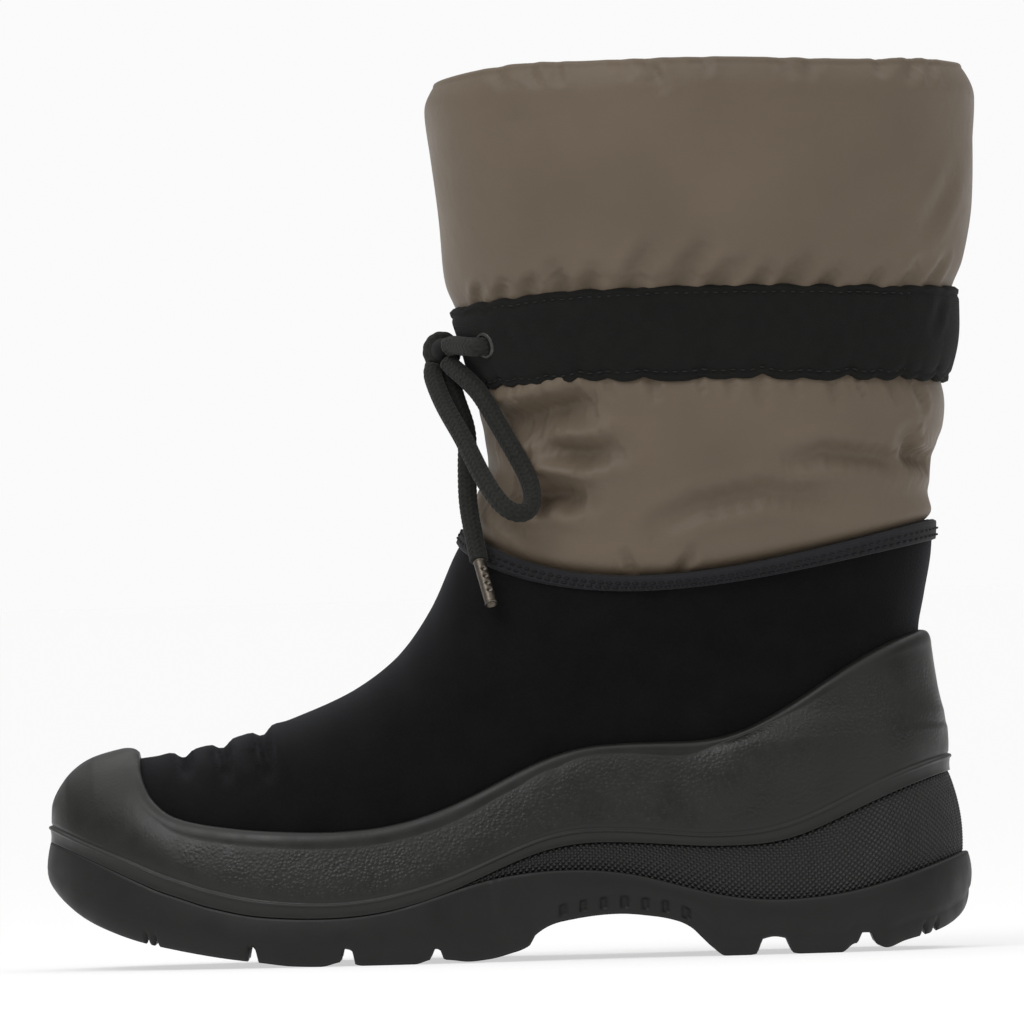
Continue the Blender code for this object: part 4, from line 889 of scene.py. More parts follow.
def felt_material():
    grey = (0.030, 0.030, 0.029)
    material, tree, shader, where = new_material("grey_felt", grey, 0.95, Specular_IOR_Level=0.1)
    flecks = mottle(tree, where, (0.022, 0.022, 0.021), (0.045, 0.045, 0.043), scale=500.0)
    link(tree, shader, Base_Color=flecks,
         Normal=lint(tree, where, scale=900.0, detail=4.0, strength=0.6, distance=0.0003))
    return material


insole = bpy.data.objects["insole"]
insole.material_slots[0].material = felt_material()


# Binding
# A woven black tape, folded over the raw top edge of the textile so that it hides the cut, and sewn down
# with two rows of dark stitches all round.
BINDING_HEIGHT, BINDING_WALL = 0.0062, 0.0011


def tape_section(low, high, rows, inside, outside):
    """Rings of a band with rounded edges along the form."""
    rings = []
    for share in np.linspace(0, 1, rows):
        edge = min(share, 1 - share)
        puff = outside * (1 - (1 - min(edge / 0.10, 1)) ** 2 * 0.75)
        rings.append(offset(TURNS, low + (high - low) * share, puff))
    for share in (1, 0.5, 0):
        rings.append(offset(TURNS, low + (high - low) * share, inside))
    return rings


def weave_group():
    """A plain weave: the height of two sets of threads that cross."""
    sockets = dict.fromkeys(("Scale", "Distortion", "Detail Scale"), "Float")
    tree, given, put_out = new_group("plain_weave", {"Vector": "Vector", **sockets}, {"Height": "Float"})
    inputs = {key: given[key] for key in ("Vector", *sockets)}
    threads = [add_node(tree, "TexWave", inputs, bands_direction=way).outputs[1] for way in ("X", "Y")]
    tree.links.new(math_node(tree, "ADD", *threads), put_out["Height"])
    return tree


WEAVE = weave_group()
THREAD_SCALE = 0.314  # a wave texture's scale for threads one metre apart


def weave(tree, pitch, distortion, detail_scale):
    """Height of a weave on the piece's own coordinates, with this far from thread to thread."""
    cloth = add_node(tree, "UVMap", {}, uv_map="cloth").outputs[0]
    inputs = {"Vector": cloth, "Scale": THREAD_SCALE / pitch, "Distortion": distortion}
    inputs["Detail Scale"] = detail_scale
    return add_node(tree, "Group", inputs, node_tree=WEAVE).outputs[0]


def woven_tape(name, colour_a, colour_b, pitch, roughness, sheen):
    """Plain woven cloth with a slight unevenness of colour."""
    material, tree, shader, where = new_material(
        name, colour_a, roughness, Specular_IOR_Level=0.25, Sheen_Weight=sheen)
    threads = weave(tree, pitch, distortion=0.6, detail_scale=60.0)
    link(tree, shader, Base_Color=mottle(tree, where, colour_a, colour_b, scale=220.0),
         Normal=bump(tree, threads, strength=0.5, distance=0.00012))
    return material


def stitches(name, places, ways, normals, length, thick, material, slot):
    """Short round stitches as one mesh, each lying along the cloth with its ends sunk in."""
    sides, rings = 6, 5
    points, faces = [], []
    for place, way, normal in zip(places, ways, normals):
        across = np.cross(normal, way)
        start = len(points)
        for r in range(rings):
            t = r / (rings - 1) * 2 - 1
            lift = (1 - t * t) * thick * 0.55 - thick * 0.25
            fat = thick / 2 * (1 - 0.45 * t * t)
            for s in range(sides):
                a = s / sides * 2 * math.pi
                high = normal * (lift + fat * math.sin(a))
                points.append(place + way * t * length / 2 + high + across * fat * math.cos(a))
        faces += (grid_faces(rings, sides) + start).tolist() + end_caps(start, rings, sides)
    return add_piece(name, points, faces, material)


def stitch_row(level, depth, pitch):
    """Places, directions and normals of a row of stitches along a row of levels."""
    level = np.broadcast_to(level, TURNS.shape)
    line = offset(TURNS, level, depth)
    closed = np.vstack([line, line[:1]])
    length = run_length(closed)
    at = np.arange(round(length[-1] / pitch)) * length[-1] / round(length[-1] / pitch)
    turn = np.interp(at, length, np.append(TURNS, 1.0))
    places = np.stack([np.interp(at, length, closed[:, k]) for k in range(3)], axis=1)
    ahead = np.stack([np.interp((at + 0.0005) % length[-1], length, closed[:, k]) for k in range(3)], axis=1)
    ways = ahead - places
    ways /= np.linalg.norm(ways, axis=1, keepdims=True)
    return places, ways, outward(turn, np.interp(turn, TURNS, level))


def thread_material(name, colour):
    material, tree, shader, where = new_material(name, colour, 0.6, Specular_IOR_Level=0.3)
    link(tree, shader, Normal=lint(tree, where, scale=2500.0, detail=2.0, strength=0.4, distance=0.0001))
    return material


edge_level = np.full(len(TURNS), LEVEL_OF["upper_top"])
tape_low = step_back(TURNS, edge_level, BINDING_HEIGHT)
tape_rings = tape_section(tape_low, edge_level + 0.0010, rows=15, inside=-0.0004, outside=GAP + BINDING_WALL)
tape = woven_tape("binding_tape_fine", (0.0068, 0.0068, 0.0085), (0.0100, 0.0100, 0.0125), pitch=0.0005,
                  roughness=0.70, sheen=0.05)
binding = loft("binding_fine", tape_rings, tape, closed=True)
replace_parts(binding, "binding")
dark_thread = thread_material("dark_thread", (0.0014, 0.0014, 0.0016))
for number, share in enumerate((0.30, 0.62)):
    row = stitch_row(tape_low + (edge_level - tape_low) * share, GAP + BINDING_WALL + 0.0001, pitch=0.0027)
    stitches(f"binding_stitches_{number}", *row, length=0.0019, thick=0.0007, material=dark_thread,
             slot="binding_tape")


# Shaft
# The padded lower shaft of taupe nylon. It starts inside the bound edge of the textile, and buckles there
# and below the drawcord band, where the cord gathers it.
SHAFT_WALL = 0.0034
# Side (-1 outer, +1 inner), half width, depth, and the trough's route as (x, z), in millimetres
SHAFT_CREASES = (
    (-1, 4.4, 6.6, ((-4, 165.5), (6.5, 167.2), (15.8, 169.1), (27.8, 171.4))),
    (-1, 3.4, 4.0, ((7.4, 161.6), (17.1, 157.6), (23.8, 155.9), (36.0, 157.3))),
    (-1, 3.8, 6.4, ((1.0, 145.2), (8.4, 144.0), (15.8, 143.5), (24.0, 142.0))),
    (-1, 3.4, 2.6, ((42.5, 127.6), (46.4, 133.7), (59.1, 138.9), (79.0, 142.7), (103.0, 138.9))),
    (-1, 3.2, 2.7, ((83.2, 150.9), (96.6, 154.5), (110.1, 152.9), (124.0, 149.3))),
    (-1, 3.0, 3.8, ((121.5, 158.5), (122.5, 153.5), (128.5, 150.5))),
    (-1, 1.5, 1.5, ((35.3, 124.5), (36.7, 119.7))),
    (-1, 1.7, 1.7, ((50.0, 117.7), (56.3, 124.5))),
    (-1, 2.6, 1.9, ((-6.5, 141.3), (-2.0, 136.5), (5.6, 132.2))),
    (1, 4.2, 3.8, ((0, 163), (12, 166), (27, 168))),
    (1, 3.6, 3.4, ((6, 147), (16, 145), (30, 146))),
    (1, 3.4, 2.5, ((40, 130), (52, 136), (75, 140), (96, 137))),
    (1, 3.2, 2.6, ((86, 152), (101, 156), (122, 151))),
    (1, 2.2, 1.8, ((60, 160), (74, 163), (84, 160))),
    (1, 1.6, 1.4, ((44, 119), (49, 125))),
)


GATHER_LEAN = 0.3  # how far a gather leans to the heel, as a share of its reach


def seam_gathers(grid, seam, spots, depth, reach):
    """Short troughs that fan out from a seam of points (x, z), at spots (side, x) in millimetres."""
    lines = []
    for number, (side, x) in enumerate(spots):
        z = np.interp(x, *np.array(seam).T)
        size = 0.7 + 0.6 * ((number * 7) % 5) / 4
        way = -1 if reach < 0 else 1
        tip = (x + GATHER_LEAN * abs(reach) * size, z + reach * size)
        lines.append((side, 1.5 * size, depth * size, ((x, z - way * 1.0), tip)))
    return soft_lines(grid, lines)


BAND_SEAM = ((2, 177), (45, 178.5), (77, 177), (100, 175.7), (134, 174.5))  # (x, z) under the band
OUTER_GATHERS = (2, 10, 19, 30.6, 44, 59, 68, 77, 88, 100, 108.6, 118, 126)
INNER_GATHERS = (0, 9, 21, 32, 41, 53, 66, 74, 85, 97, 107, 119, 128)


def make_shaft(material):
    edge, top, rows = LEVEL_OF["upper_top"], LEVEL_OF["band_low"] + 0.012, 74
    share = np.linspace(0, 1, rows)[:, None]
    grid, normal = form_grid(edge + (top - edge) * share)
    sunk = soft_lines(grid, SHAFT_CREASES) + rumple(grid, scale=30.0, depth=0.0009, seed=11.0)
    spots = [(side, x) for side, row in ((-1, OUTER_GATHERS), (1, INNER_GATHERS)) for x in row]
    sunk += seam_gathers(grid, BAND_SEAM, spots, depth=0.9, reach=-5.0)
    tuck = np.exp(-((share * rows / 3.2) ** 2)) * 0.0026
    seam_dip = np.exp(-(((1 - share) * rows / 9) ** 2)) * 0.0022
    puff = 0.0016 * np.sin(math.pi * share) ** 0.5
    outer = grid + normal * (puff - sunk - tuck - seam_dip)[..., None]
    hidden = offset(TURNS, tape_low, -UPPER_WALL - GAP)
    inner = grid[::-4] - normal[::-4] * (SHAFT_WALL + 0.001 + np.maximum(sunk[::-4], 0))[..., None]
    last = offset(TURNS, tape_low, -UPPER_WALL - SHAFT_WALL)
    rings = np.concatenate([hidden[None], outer, inner, last[None]])
    return loft("shaft_fine", rings, material, closed=True)


def nylon_material():
    """Taupe nylon: a tight plain weave, small wrinkles, and a soft gloss that changes a little."""
    material, tree, shader, where = new_material(
        "taupe_nylon", (0.114, 0.085, 0.058), 0.50, Specular_IOR_Level=0.30, Sheen_Weight=0.10,
        Sheen_Roughness=0.5, Sheen_Tint=(0.9, 0.82, 0.72, 1))
    wrinkles = noise_field(tree, where, 150.0, 4.0, Distortion=0.6)
    patches = noise_field(tree, where, 40.0, 2.0)
    rough = remap(tree, patches, 0.3, 0.7, 0.44, 0.58)
    first = bump(tree, wrinkles, strength=0.30, distance=0.0008)
    threads = weave(tree, 0.00042, distortion=0.4, detail_scale=1.0)
    colour = mottle(tree, where, (0.105, 0.078, 0.053), (0.122, 0.092, 0.063), scale=26.0)
    link(tree, shader, Base_Color=colour, Roughness=rough,
         Normal=bump(tree, threads, strength=0.30, distance=0.00008, below=first))
    return material


nylon = nylon_material()
shaft = make_shaft(nylon)
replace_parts(shaft, "shaft")


# Drawcord band
# A tunnel of black cloth sewn round the shaft for the cord, with a row of stitches near each edge. The
# gathered cord puckers its lower edge.
BAND_WALL = 0.0020
BAND_FOLDS = (
    (-1, 3.2, 0.9, ((16.5, 194.7), (22.5, 188.3), (28.5, 180.5))),
    (-1, 2.4, 0.6, ((-0.4, 195.1), (4.0, 188.8))),
    (-1, 2.2, 0.6, ((134.0, 200.8), (130.6, 191.6))),
    (-1, 2.4, 0.5, ((59.4, 180.5), (65.7, 187.2))),
    (-1, 2.4, 0.5, ((44.5, 203.2), (47.4, 196.9))),
    (-1, 2.0, 0.6, ((96, 181), (101, 188))),
    (1, 3.2, 0.9, ((14, 180), (21, 189), (24, 196))),
    (1, 2.4, 0.6, ((70, 203), (74, 194))),
    (1, 2.6, 0.7, ((110, 181), (104, 190))),
)


PUCKER_PITCH, ROUND_THE_BAND = 0.012, 0.46


def edge_wave(amount, seed):
    """An uneven scallop round the boot, in levels, and deepest in the middle of each pucker."""
    count = round(ROUND_THE_BAND / PUCKER_PITCH)
    rng = np.random.default_rng(seed)
    knots = (np.arange(count) + rng.uniform(-0.3, 0.3, count)) / count
    size = rng.uniform(0.35, 1.0, count)
    gap = (TURNS[:, None] - knots[None, :] + 0.5) % 1 - 0.5
    return amount * (size * np.exp(-np.abs(gap * count / 0.28) ** 1.3)).sum(axis=1)


def make_band(material):
    low = LEVEL_OF["band_low"] - 0.0030 + edge_wave(0.0080, 5)
    high = LEVEL_OF["band_top"] + 0.0020 - edge_wave(0.0034, 8)
    share = np.linspace(0, 1, 40)[:, None]
    grid, normal = form_grid(low[None, :] + (high - low)[None, :] * share)
    edge = np.minimum(share, 1 - share)
    stitched = np.exp(-(((edge - 0.085) / 0.03) ** 2)) * 0.0006
    puff = 0.0005 + 0.0009 * np.sin(math.pi * share) ** 0.6
    rounded = (1 - np.minimum(edge / 0.035, 1)) ** 2 * 0.0012
    pucker = edge_wave(1.0, 5)[None, :] * np.exp(-((share / 0.22) ** 2)) * 0.0004
    sunk = soft_lines(grid, BAND_FOLDS) + rumple(grid, scale=45.0, depth=0.0006, seed=23.0) + pucker
    puff = puff + 0.0008 * np.clip((around(TURNS)[0] - 0.8) / 0.2, 0, 1)
    puff = puff + 0.0012 * np.clip((0.1 - around(TURNS)[0]) / 0.1, 0, 1) * np.clip((share - 0.6) / 0.4, 0, 1)
    outer = grid + normal * (puff - stitched - rounded - sunk)[..., None]
    back = grid[::-13] - normal[::-13] * BAND_WALL
    return loft("drawcord_band_fine", np.concatenate([outer, back]), material, closed=True)


band_cloth = woven_tape("band_cloth_fine", (0.0026, 0.0027, 0.0022), (0.0042, 0.0043, 0.0036), pitch=0.0006,
                        roughness=0.90, sheen=0.02)
band = make_band(band_cloth)
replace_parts(band, "drawcord_band")
band_thread = thread_material("band_thread", (0.0080, 0.0080, 0.0072))
band_span = LEVEL_OF["band_top"] - LEVEL_OF["band_low"]
low_row = LEVEL_OF["band_low"] + 0.075 * band_span + edge_wave(0.0050, 5)
high_row = LEVEL_OF["band_top"] - 0.060 * band_span - edge_wave(0.0022, 8)
for number, level in enumerate((low_row, high_row)):
    row = stitch_row(level, 0.0005, pitch=0.0030)
    stitches(f"band_stitches_{number}", *row, length=0.0018, thick=0.0005, material=band_thread,
             slot="band_cloth")


# Cuff
# The padded upper cuff, nylon over wadding, turned over at the top and gathered into the band's seam, so
# that short folds rise from the seam and small ones run over the rim.
CUFF_CREASES = (
    (-1, 1.8, 1.2, ((-9.5, 203.1), (-7.8, 207.7))),
    (-1, 1.8, 1.2, ((-1.7, 204.4), (-0.1, 209.0))),
    (-1, 2.0, 1.2, ((6.9, 205.4), (8.6, 210.2))),
    (-1, 2.4, 1.7, ((18.4, 205.0), (17.6, 209.0), (15.6, 213.0))),
    (-1, 2.5, 1.5, ((25.4, 205.4), (28.1, 212.3))),
    (-1, 2.8, 2.0, ((38.7, 205.0), (41.2, 213.1), (46.0, 219.5))),
    (-1, 2.8, 2.0, ((52.9, 205.2), (57.2, 213.6), (63.0, 220.0))),
    (-1, 2.5, 1.5, ((62.8, 205.6), (69.0, 211.4), (75.6, 214.4))),
    (-1, 2.2, 1.5, ((76.0, 205.2), (81.8, 212.0))),
    (-1, 2.7, 1.7, ((85.3, 205.4), (90.5, 210.6), (95.4, 214.5))),
    (-1, 2.2, 1.5, ((97.6, 204.6), (102.7, 210.6))),
    (-1, 2.2, 1.5, ((112.1, 204.6), (116.9, 211.0))),
    (-1, 2.4, 1.5, ((123.8, 204.6), (128.6, 212.0))),
    (-1, 2.2, 1.4, ((131.5, 204.4), (136.4, 213.0))),
    (-1, 2.0, 0.9, ((-3.6, 278.1), (0.7, 271.3))),
    (-1, 2.0, 0.9, ((7.0, 278.4), (11.2, 271.6))),
    (-1, 1.8, 0.9, ((15.8, 278.4), (18.6, 272.0))),
    (-1, 1.8, 0.9, ((36.2, 278.5), (39.4, 273.3))),
    (-1, 2.1, 1.5, ((43.6, 278.3), (47.1, 274.1), (49.8, 268.7))),
    (-1, 1.8, 0.9, ((61.5, 278.7), (64.2, 273.2))),
    (-1, 2.0, 1.0, ((86.2, 277.1), (89.4, 271.3))),
    (-1, 2.0, 1.0, ((97.8, 277.4), (95.0, 271.2))),
    (-1, 2.1, 1.5, ((118.9, 276.2), (117.2, 271.2))),
    (-1, 2.2, 1.5, ((130.4, 275.9), (126.2, 268.5))),
    (-1, 1.8, 0.9, ((134.8, 274.0), (132.3, 267.7))),
    (-1, 3.8, 1.1, ((139.0, 239.2), (137.3, 234.6), (133.1, 227.0), (127.9, 219.9))),
    (-1, 3.0, 0.6, ((4.4, 261.4), (6.4, 256.9))),
    (1, 5.0, 1.6, ((128, 246), (124, 236), (112, 224))),
    (1, 3.4, 0.9, ((12, 250), (24, 243))),
)
# Height of the rim above the plain form, from front to back in metres
RIM_LIFT = ((0.0, -0.0008), (0.15, -0.0006), (0.3, -0.0015), (0.4, -0.0013), (0.55, -0.0006), (0.75, 0.0),
            (0.85, 0.0008), (0.92, 0.0018), (1.0, 0.0014))
# Seam at the cuff's foot and its rim as (x, z), and where folds start on the inner side, in millimetres
CUFF_SEAM = ((-10, 203), (20, 206), (60, 207.4), (100, 206.2), (136, 205))
CUFF_RIM = ((-10, 275), (20, 277.5), (60, 278), (100, 276.5), (136, 273))
INNER_FOLDS = (2, 10, 18, 29, 36, 47, 58, 66, 77, 85, 97, 104, 116, 127, 134)


def make_cuff(material):
    bottom, top = LEVEL_OF["band_top"] - 0.010, LEVEL_OF["cuff_top"]
    rows = 92
    share = np.linspace(0, 1, rows)[:, None]
    grid, normal = form_grid(bottom + (top - bottom) * share)
    sunk = soft_lines(grid, CUFF_CREASES) + rumple(grid, scale=24.0, depth=0.0012, seed=31.0)
    sunk += seam_gathers(grid, CUFF_SEAM, [(1, x) for x in INNER_FOLDS], depth=1.0, reach=7.0)
    sunk += seam_gathers(grid, CUFF_RIM, [(1, x + 3) for x in INNER_FOLDS[::2]], depth=0.8, reach=-5.0)
    seam_dip = np.exp(-((share * rows / 10) ** 2)) * 0.0012
    along = around(TURNS)[0]
    puff = (0.0002 + 0.0012 * np.clip(along / 0.3, 0, 1)) * np.sin(math.pi * share) ** 0.6
    puff = puff + 0.0013 * np.clip((along - 0.8) / 0.2, 0, 1) * np.clip((share - 0.7) / 0.3, 0, 1)
    puff = puff - 0.0011 * np.clip((share - 0.90) / 0.10, 0, 1) ** 2
    outer = grid + normal * (puff - sunk - seam_dip)[..., None]
    outer[..., 2] += smooth(*np.array(RIM_LIFT).T, along) * np.clip((share - 0.8) / 0.2, 0, 1) ** 1.5
    crown = []
    middle = outer[-1] - normal[-1] * SHAFT_WALL / 2
    for angle in np.linspace(0.35, math.pi - 0.2, 7):
        up = np.array([0, 0, 0.0020]) * math.sin(angle)
        crown.append(middle + normal[-1] * SHAFT_WALL / 2 * math.cos(angle) + up)
    inner = grid[::-9] - normal[::-9] * (SHAFT_WALL + sunk[::-9, :, None] * 0.4)
    return loft("cuff_fine", np.concatenate([outer, crown, inner]), material, closed=True)


cuff = make_cuff(nylon)
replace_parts(cuff, "cuff")


# Eyelets
# Two rings of dark metal in the front of the band, one on each side. They are pressed from sheet, with
# rolled edges, and clenched through the cloth.
def metal_material(name, colour_a, colour_b):
    material, tree, shader, where = new_material(name, colour_a, 0.42, Metallic=1.0)
    wear = noise_field(tree, where, 1600.0, 3.0)
    link(tree, shader, Base_Color=mottle(tree, where, colour_a, colour_b, scale=900.0),
         Roughness=remap(tree, wear, 0.3, 0.7, 0.36, 0.54))
    return material


CORD_DIAMETER, EYELET_RADIUS, EYELET_THICKNESS = 0.0050, 0.0042, 0.0010
CORD_HEIGHT, EYELET_ALONG, KNOT_AHEAD = 0.53, 0.048, 0.0072
dark_metal = metal_material("dark_metal", (0.050, 0.050, 0.048), (0.085, 0.083, 0.078))
cord_level = LEVEL_OF["band_low"] + (LEVEL_OF["band_top"] - LEVEL_OF["band_low"]) * CORD_HEIGHT


def eyelet_seat(side):
    fine = np.linspace(0, 0.5, 2001)
    turn = np.interp(EYELET_ALONG, around(fine)[0], fine)
    turn = np.array([turn if side < 0 else 1 - turn])
    return form(turn, cord_level)[0], outward(turn, cord_level)[0]


def circle_round(axis, count):
    """A circle of radius one round an axis."""
    across = np.cross(axis, (0, 0, 1.0))
    across /= np.linalg.norm(across)
    a = np.arange(count) / count * 2 * math.pi
    return np.cos(a)[:, None] * across + np.sin(a)[:, None] * np.cross(across, axis)


def make_eyelet(name, side):
    """A ring with a rolled section, flush with the cloth."""
    place, normal = eyelet_seat(side)
    circle = circle_round(normal, 48)
    hole = CORD_DIAMETER / 2
    middle, thick = (EYELET_RADIUS + hole) / 2 + 0.0001, (EYELET_RADIUS - hole) / 2
    rings = []
    for b in np.arange(12) / 12 * 2 * math.pi:
        lift = 0.0012 + 0.75 * EYELET_THICKNESS * math.sin(b)
        rings.append(place + circle * (middle + thick * math.cos(b)) + normal * lift)
    return loft(name, rings[::-1], dark_metal, closed=True)


for side, word in ((-1, "near"), (1, "far")):
    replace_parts(make_eyelet(f"eyelet_{word}_fine", side), f"eyelet_{word}")


# Drawcord
# One braided cord, a little flat, that comes out of the two eyelets and is tied in a bow, with an aglet on
# each of its two hanging ends.
KNOT_SIZE = (0.0056, 0.0105, 0.0058)
KNOT_LEAVES = {
    "bar": (0.30, -0.93, 0.20),
    "loop": (0.30, -0.80, -0.52),
    "back": (-0.42, -0.52, -0.74),
    "end": (0.26, -0.27, -0.93),
}
END_RUN, BAR_STANDS_OUT = 0.0022, 0.0036
LOOP_ROUTE = (
    (5.9, -14.6, -0.052),
    (11.4, -20.9, -0.094),
    (17.0, -26.0, -0.164),
    (21.8, -30.5, -0.226),
    (25.9, -34.4, -0.285),
    (26.8, -39.2, -0.334),
    (23.6, -43.4, -0.358),
    (18.4, -43.4, -0.344),
    (12.4, -37.4, -0.285),
    (6.0, -26.5, -0.192),
    (0.0, -15.2, -0.112),
)
END_ROUTE = (
    (4.0, -7.4, -0.105),
    (7.0, -11.6, -0.175),
    (6.8, -14.5, -0.252),
    (6.9, -18.6, -0.329),
    (8.4, -24.4, -0.402),
    (9.8, -29.0, -0.455),
)
AGLET_LEAN, AGLET_LENGTH, AGLET_RADIUS = (3.6, -8.4, -14.2), 0.0160, 0.0019
knot_middle = form(np.array([0.0]), cord_level)[0] + np.array([-KNOT_AHEAD, 0, 0])
SOFTENING = 60  # passes that even out a cord's curve


def through(route, step):
    """Points a step apart on a smooth curve through the route."""
    route = np.asarray(route, float)
    along = run_length(route)
    fine = np.linspace(0, along[-1], 400)
    padded = np.vstack([2 * route[0] - route[1], route, 2 * route[-1] - route[-2]])
    knots = np.concatenate([[-along[1]], along, [2 * along[-1] - along[-2]]])
    i = np.clip(np.searchsorted(along, fine, side="right") - 1, 0, len(route) - 2)
    width = (along[i + 1] - along[i])[:, None]
    t = (fine - along[i])[:, None] / width
    a, b = padded[i + 1], padded[i + 2]
    speed_a = (padded[i + 2] - padded[i]) / (knots[i + 2] - knots[i])[:, None]
    speed_b = (padded[i + 3] - padded[i + 1]) / (knots[i + 3] - knots[i + 1])[:, None]
    curve = a * (1 + 2 * t) * (1 - t) ** 2 + b * t * t * (3 - 2 * t)
    curve += width * (speed_a * t * (1 - t) ** 2 - speed_b * t * t * (1 - t))
    length = run_length(curve)
    at = np.linspace(0, length[-1], max(3, round(length[-1] / step) + 1))
    points = np.stack([np.interp(at, length, curve[:, k]) for k in range(3)], axis=1)
    for _ in range(SOFTENING):
        points[1:-1] = (points[:-2] + 2 * points[1:-1] + points[2:]) / 4
    return points


PLAIT_COLUMNS, PLAIT_PITCH, CORD_FLATNESS = 12, 0.0017, (1.16, 0.93)


def braid(path, radius):
    """Rings round a path: a slightly flattened braid with columns of plaits that slant to and fro."""
    sides = 4 * PLAIT_COLUMNS
    way = np.gradient(path, axis=0)
    way /= np.linalg.norm(way, axis=1, keepdims=True)
    length = run_length(path)[:, None]
    angle = (np.arange(sides) + 0.5) / sides * 2 * math.pi
    column = angle / (2 * math.pi) * PLAIT_COLUMNS
    within, slant = column % 1 - 0.5, np.where(column.astype(int) % 2, 1.0, -1.0)
    plait = np.abs(np.sin(math.pi * (length / PLAIT_PITCH + slant * within * 0.9))) ** 0.6
    fat = radius * (0.90 + 0.14 * plait * np.cos(math.pi * within) ** 0.5)
    wide = np.cross(way, (0, 1.0, 0))
    wide /= np.linalg.norm(wide, axis=1, keepdims=True)
    thin = np.cross(way, wide)
    across = (np.cos(angle) * fat * CORD_FLATNESS[0])[..., None] * wide[:, None]
    return path[:, None] + across + (np.sin(angle) * fat * CORD_FLATNESS[1])[..., None] * thin[:, None]


def cord_piece(name, route, material):
    path = through(route, 0.00038)
    rings = braid(path, CORD_DIAMETER / 2)
    caps = end_caps(0, *rings.shape[:2])
    return loft(name, rings, material, extra_faces=caps), path


def cord_material():
    material, tree, shader, where = new_material("braided_cord", (0.0085, 0.0085, 0.0072), 0.75,
                                                 Specular_IOR_Level=0.20, Sheen_Weight=0.10)
    # Painted shade: the hollows between the plaits, found by pointiness, are darkened in the colour, while
    # the raised plaits keep the strand's mottle.
    plaits = add_node(tree, "NewGeometry", {}).outputs["Pointiness"]
    unshaded_plait_tops = remap(tree, plaits, 0.46, 0.54)
    strand = mottle(tree, where, (0.0110, 0.0110, 0.0092), (0.0190, 0.0190, 0.0165), scale=700.0)
    link(tree, shader, Base_Color=blend(tree, unshaded_plait_tops, (0.0022, 0.0022, 0.0018), strand),
         Normal=lint(tree, where, scale=3000.0, detail=3.0, strength=0.5, distance=0.0001))
    return material


def leaving(strand, side):
    """First two points of a cord that leaves the knot at a right angle to its surface."""
    way = np.array(KNOT_LEAVES[strand]) * (1, -side, 1)
    way /= np.linalg.norm(way)
    normal = way / np.array(KNOT_SIZE)
    normal /= np.linalg.norm(normal)
    start = knot_middle + way * KNOT_SIZE
    return [start + normal * GAP, start + normal * END_RUN]


def make_knot(material):
    """Two wraps of cord round a core, which fills the middle."""
    faces, points = [], []
    turn = np.linspace(0, 2 * math.pi, 60)
    for tilt, shift in ((0.25, -0.0030), (-0.30, 0.0030)):
        sway = np.full(60, shift) + 0.0012 * np.sin(turn + tilt * 3)
        path = np.stack([np.cos(turn) * 0.0031, sway, np.sin(turn) * 0.0033], axis=1)
        wrap = braid(knot_middle + path, CORD_DIAMETER / 2)
        faces += (grid_faces(*wrap.shape[:2]) + len(points)).tolist()
        points += wrap.reshape(-1, 3).tolist()
    lean, a = np.radians(np.linspace(-85, 85, 11))[:, None], np.arange(20) / 20 * 2 * math.pi
    core = np.stack([np.cos(a) * np.cos(lean), np.sin(lean) + 0 * a, np.sin(a) * np.cos(lean)], axis=-1)
    core = knot_middle + core * np.array(KNOT_SIZE) * (0.80, 0.93, 0.80)
    faces += (grid_faces(*core.shape[:2]) + len(points)).tolist() + end_caps(len(points), *core.shape[:2])
    points += core.reshape(-1, 3).tolist()
    return add_piece("drawcord_knot_fine", points, faces, material)


AGLET_HOLES, HOLE_RADIUS = (0.24, 0.40, 0.56, 0.72), 0.00082


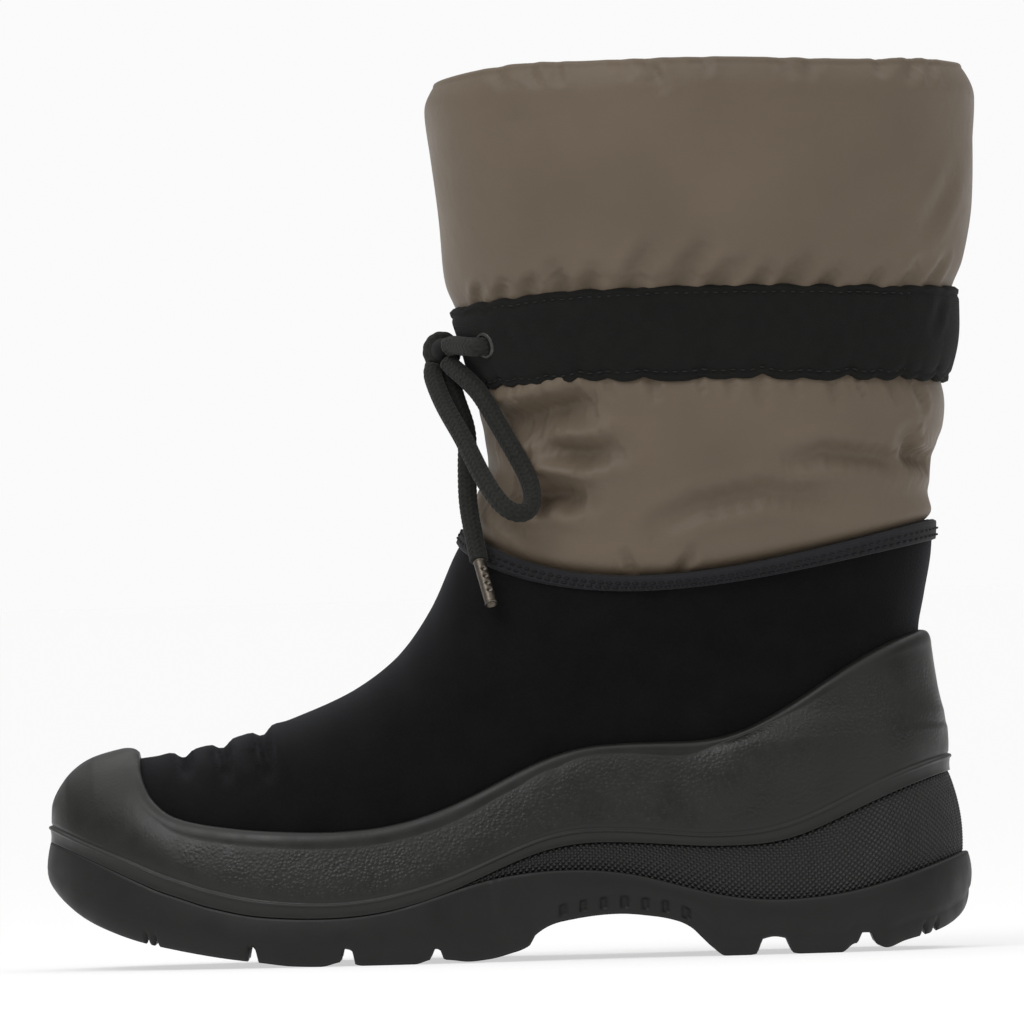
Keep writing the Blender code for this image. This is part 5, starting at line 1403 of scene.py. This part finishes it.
def make_aglet(name, start, way, material):
    """A thin metal sleeve with a rolled rim at each end and four punched holes in a line."""
    sides = 32
    way = np.asarray(way, float) / np.linalg.norm(way)
    a, circle = np.arange(sides) / sides * 2 * math.pi, circle_round(way, sides)
    rings = [start + circle * AGLET_RADIUS * 0.85]
    for share in np.linspace(0, 1, 90):
        roll = math.exp(-((share - 0.02) / 0.015) ** 2) + math.exp(-((share - 0.975) / 0.018) ** 2)
        radius = np.full(sides, AGLET_RADIUS + 0.00018 * roll)
        for hole in AGLET_HOLES:
            for spot in (0.5, 1.5):
                turn = (a - spot * math.pi + math.pi) % (2 * math.pi) - math.pi
                away = np.hypot((share - hole) * AGLET_LENGTH, turn * AGLET_RADIUS)
                radius -= 0.0011 * np.clip((HOLE_RADIUS - away) / 0.00022, 0, 1)
        rings.append(start + way * AGLET_LENGTH * share + circle * radius[:, None])
    rings.append(start + way * AGLET_LENGTH + circle * AGLET_RADIUS * 0.80)
    rings.append(start + way * (AGLET_LENGTH - 0.0012) + circle * AGLET_RADIUS * 0.78)
    return loft(name, rings, material, extra_faces=end_caps(0, len(rings), sides))


braided = cord_material()
bronze = metal_material("bronze_metal", (0.085, 0.074, 0.060), (0.150, 0.130, 0.108))
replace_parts(make_knot(braided), "drawcord_knot")
for side, word in ((-1, "near"), (1, "far")):
    mirror = np.array([0.001, -side * 0.001, SHAFT_HEIGHT])
    loop_run, end_run = (knot_middle + np.array(route) * mirror for route in (LOOP_ROUTE, END_ROUTE))
    seat, seat_normal = eyelet_seat(side)
    routes = {
        "bar": [seat - seat_normal * 0.001, seat + seat_normal * BAR_STANDS_OUT, *leaving("bar", side)[::-1]],
        "loop": [*leaving("loop", side), *loop_run, *leaving("back", side)[::-1]],
        "end": [*leaving("end", side), *end_run],
    }
    cords = {}
    for kind, route in routes.items():
        cords[kind] = cord_piece(f"drawcord_{kind}_{word}_fine", route, braided)
        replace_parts(cords[kind][0], f"drawcord_{kind}_{word}")
    lean = np.array(AGLET_LEAN) * (1, -side, 1)
    tip = cords["end"][1][-1] + lean / np.linalg.norm(lean) * GAP
    aglet = make_aglet(f"aglet_{word}_fine", tip, lean, bronze)
    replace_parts(aglet, f"aglet_{word}")
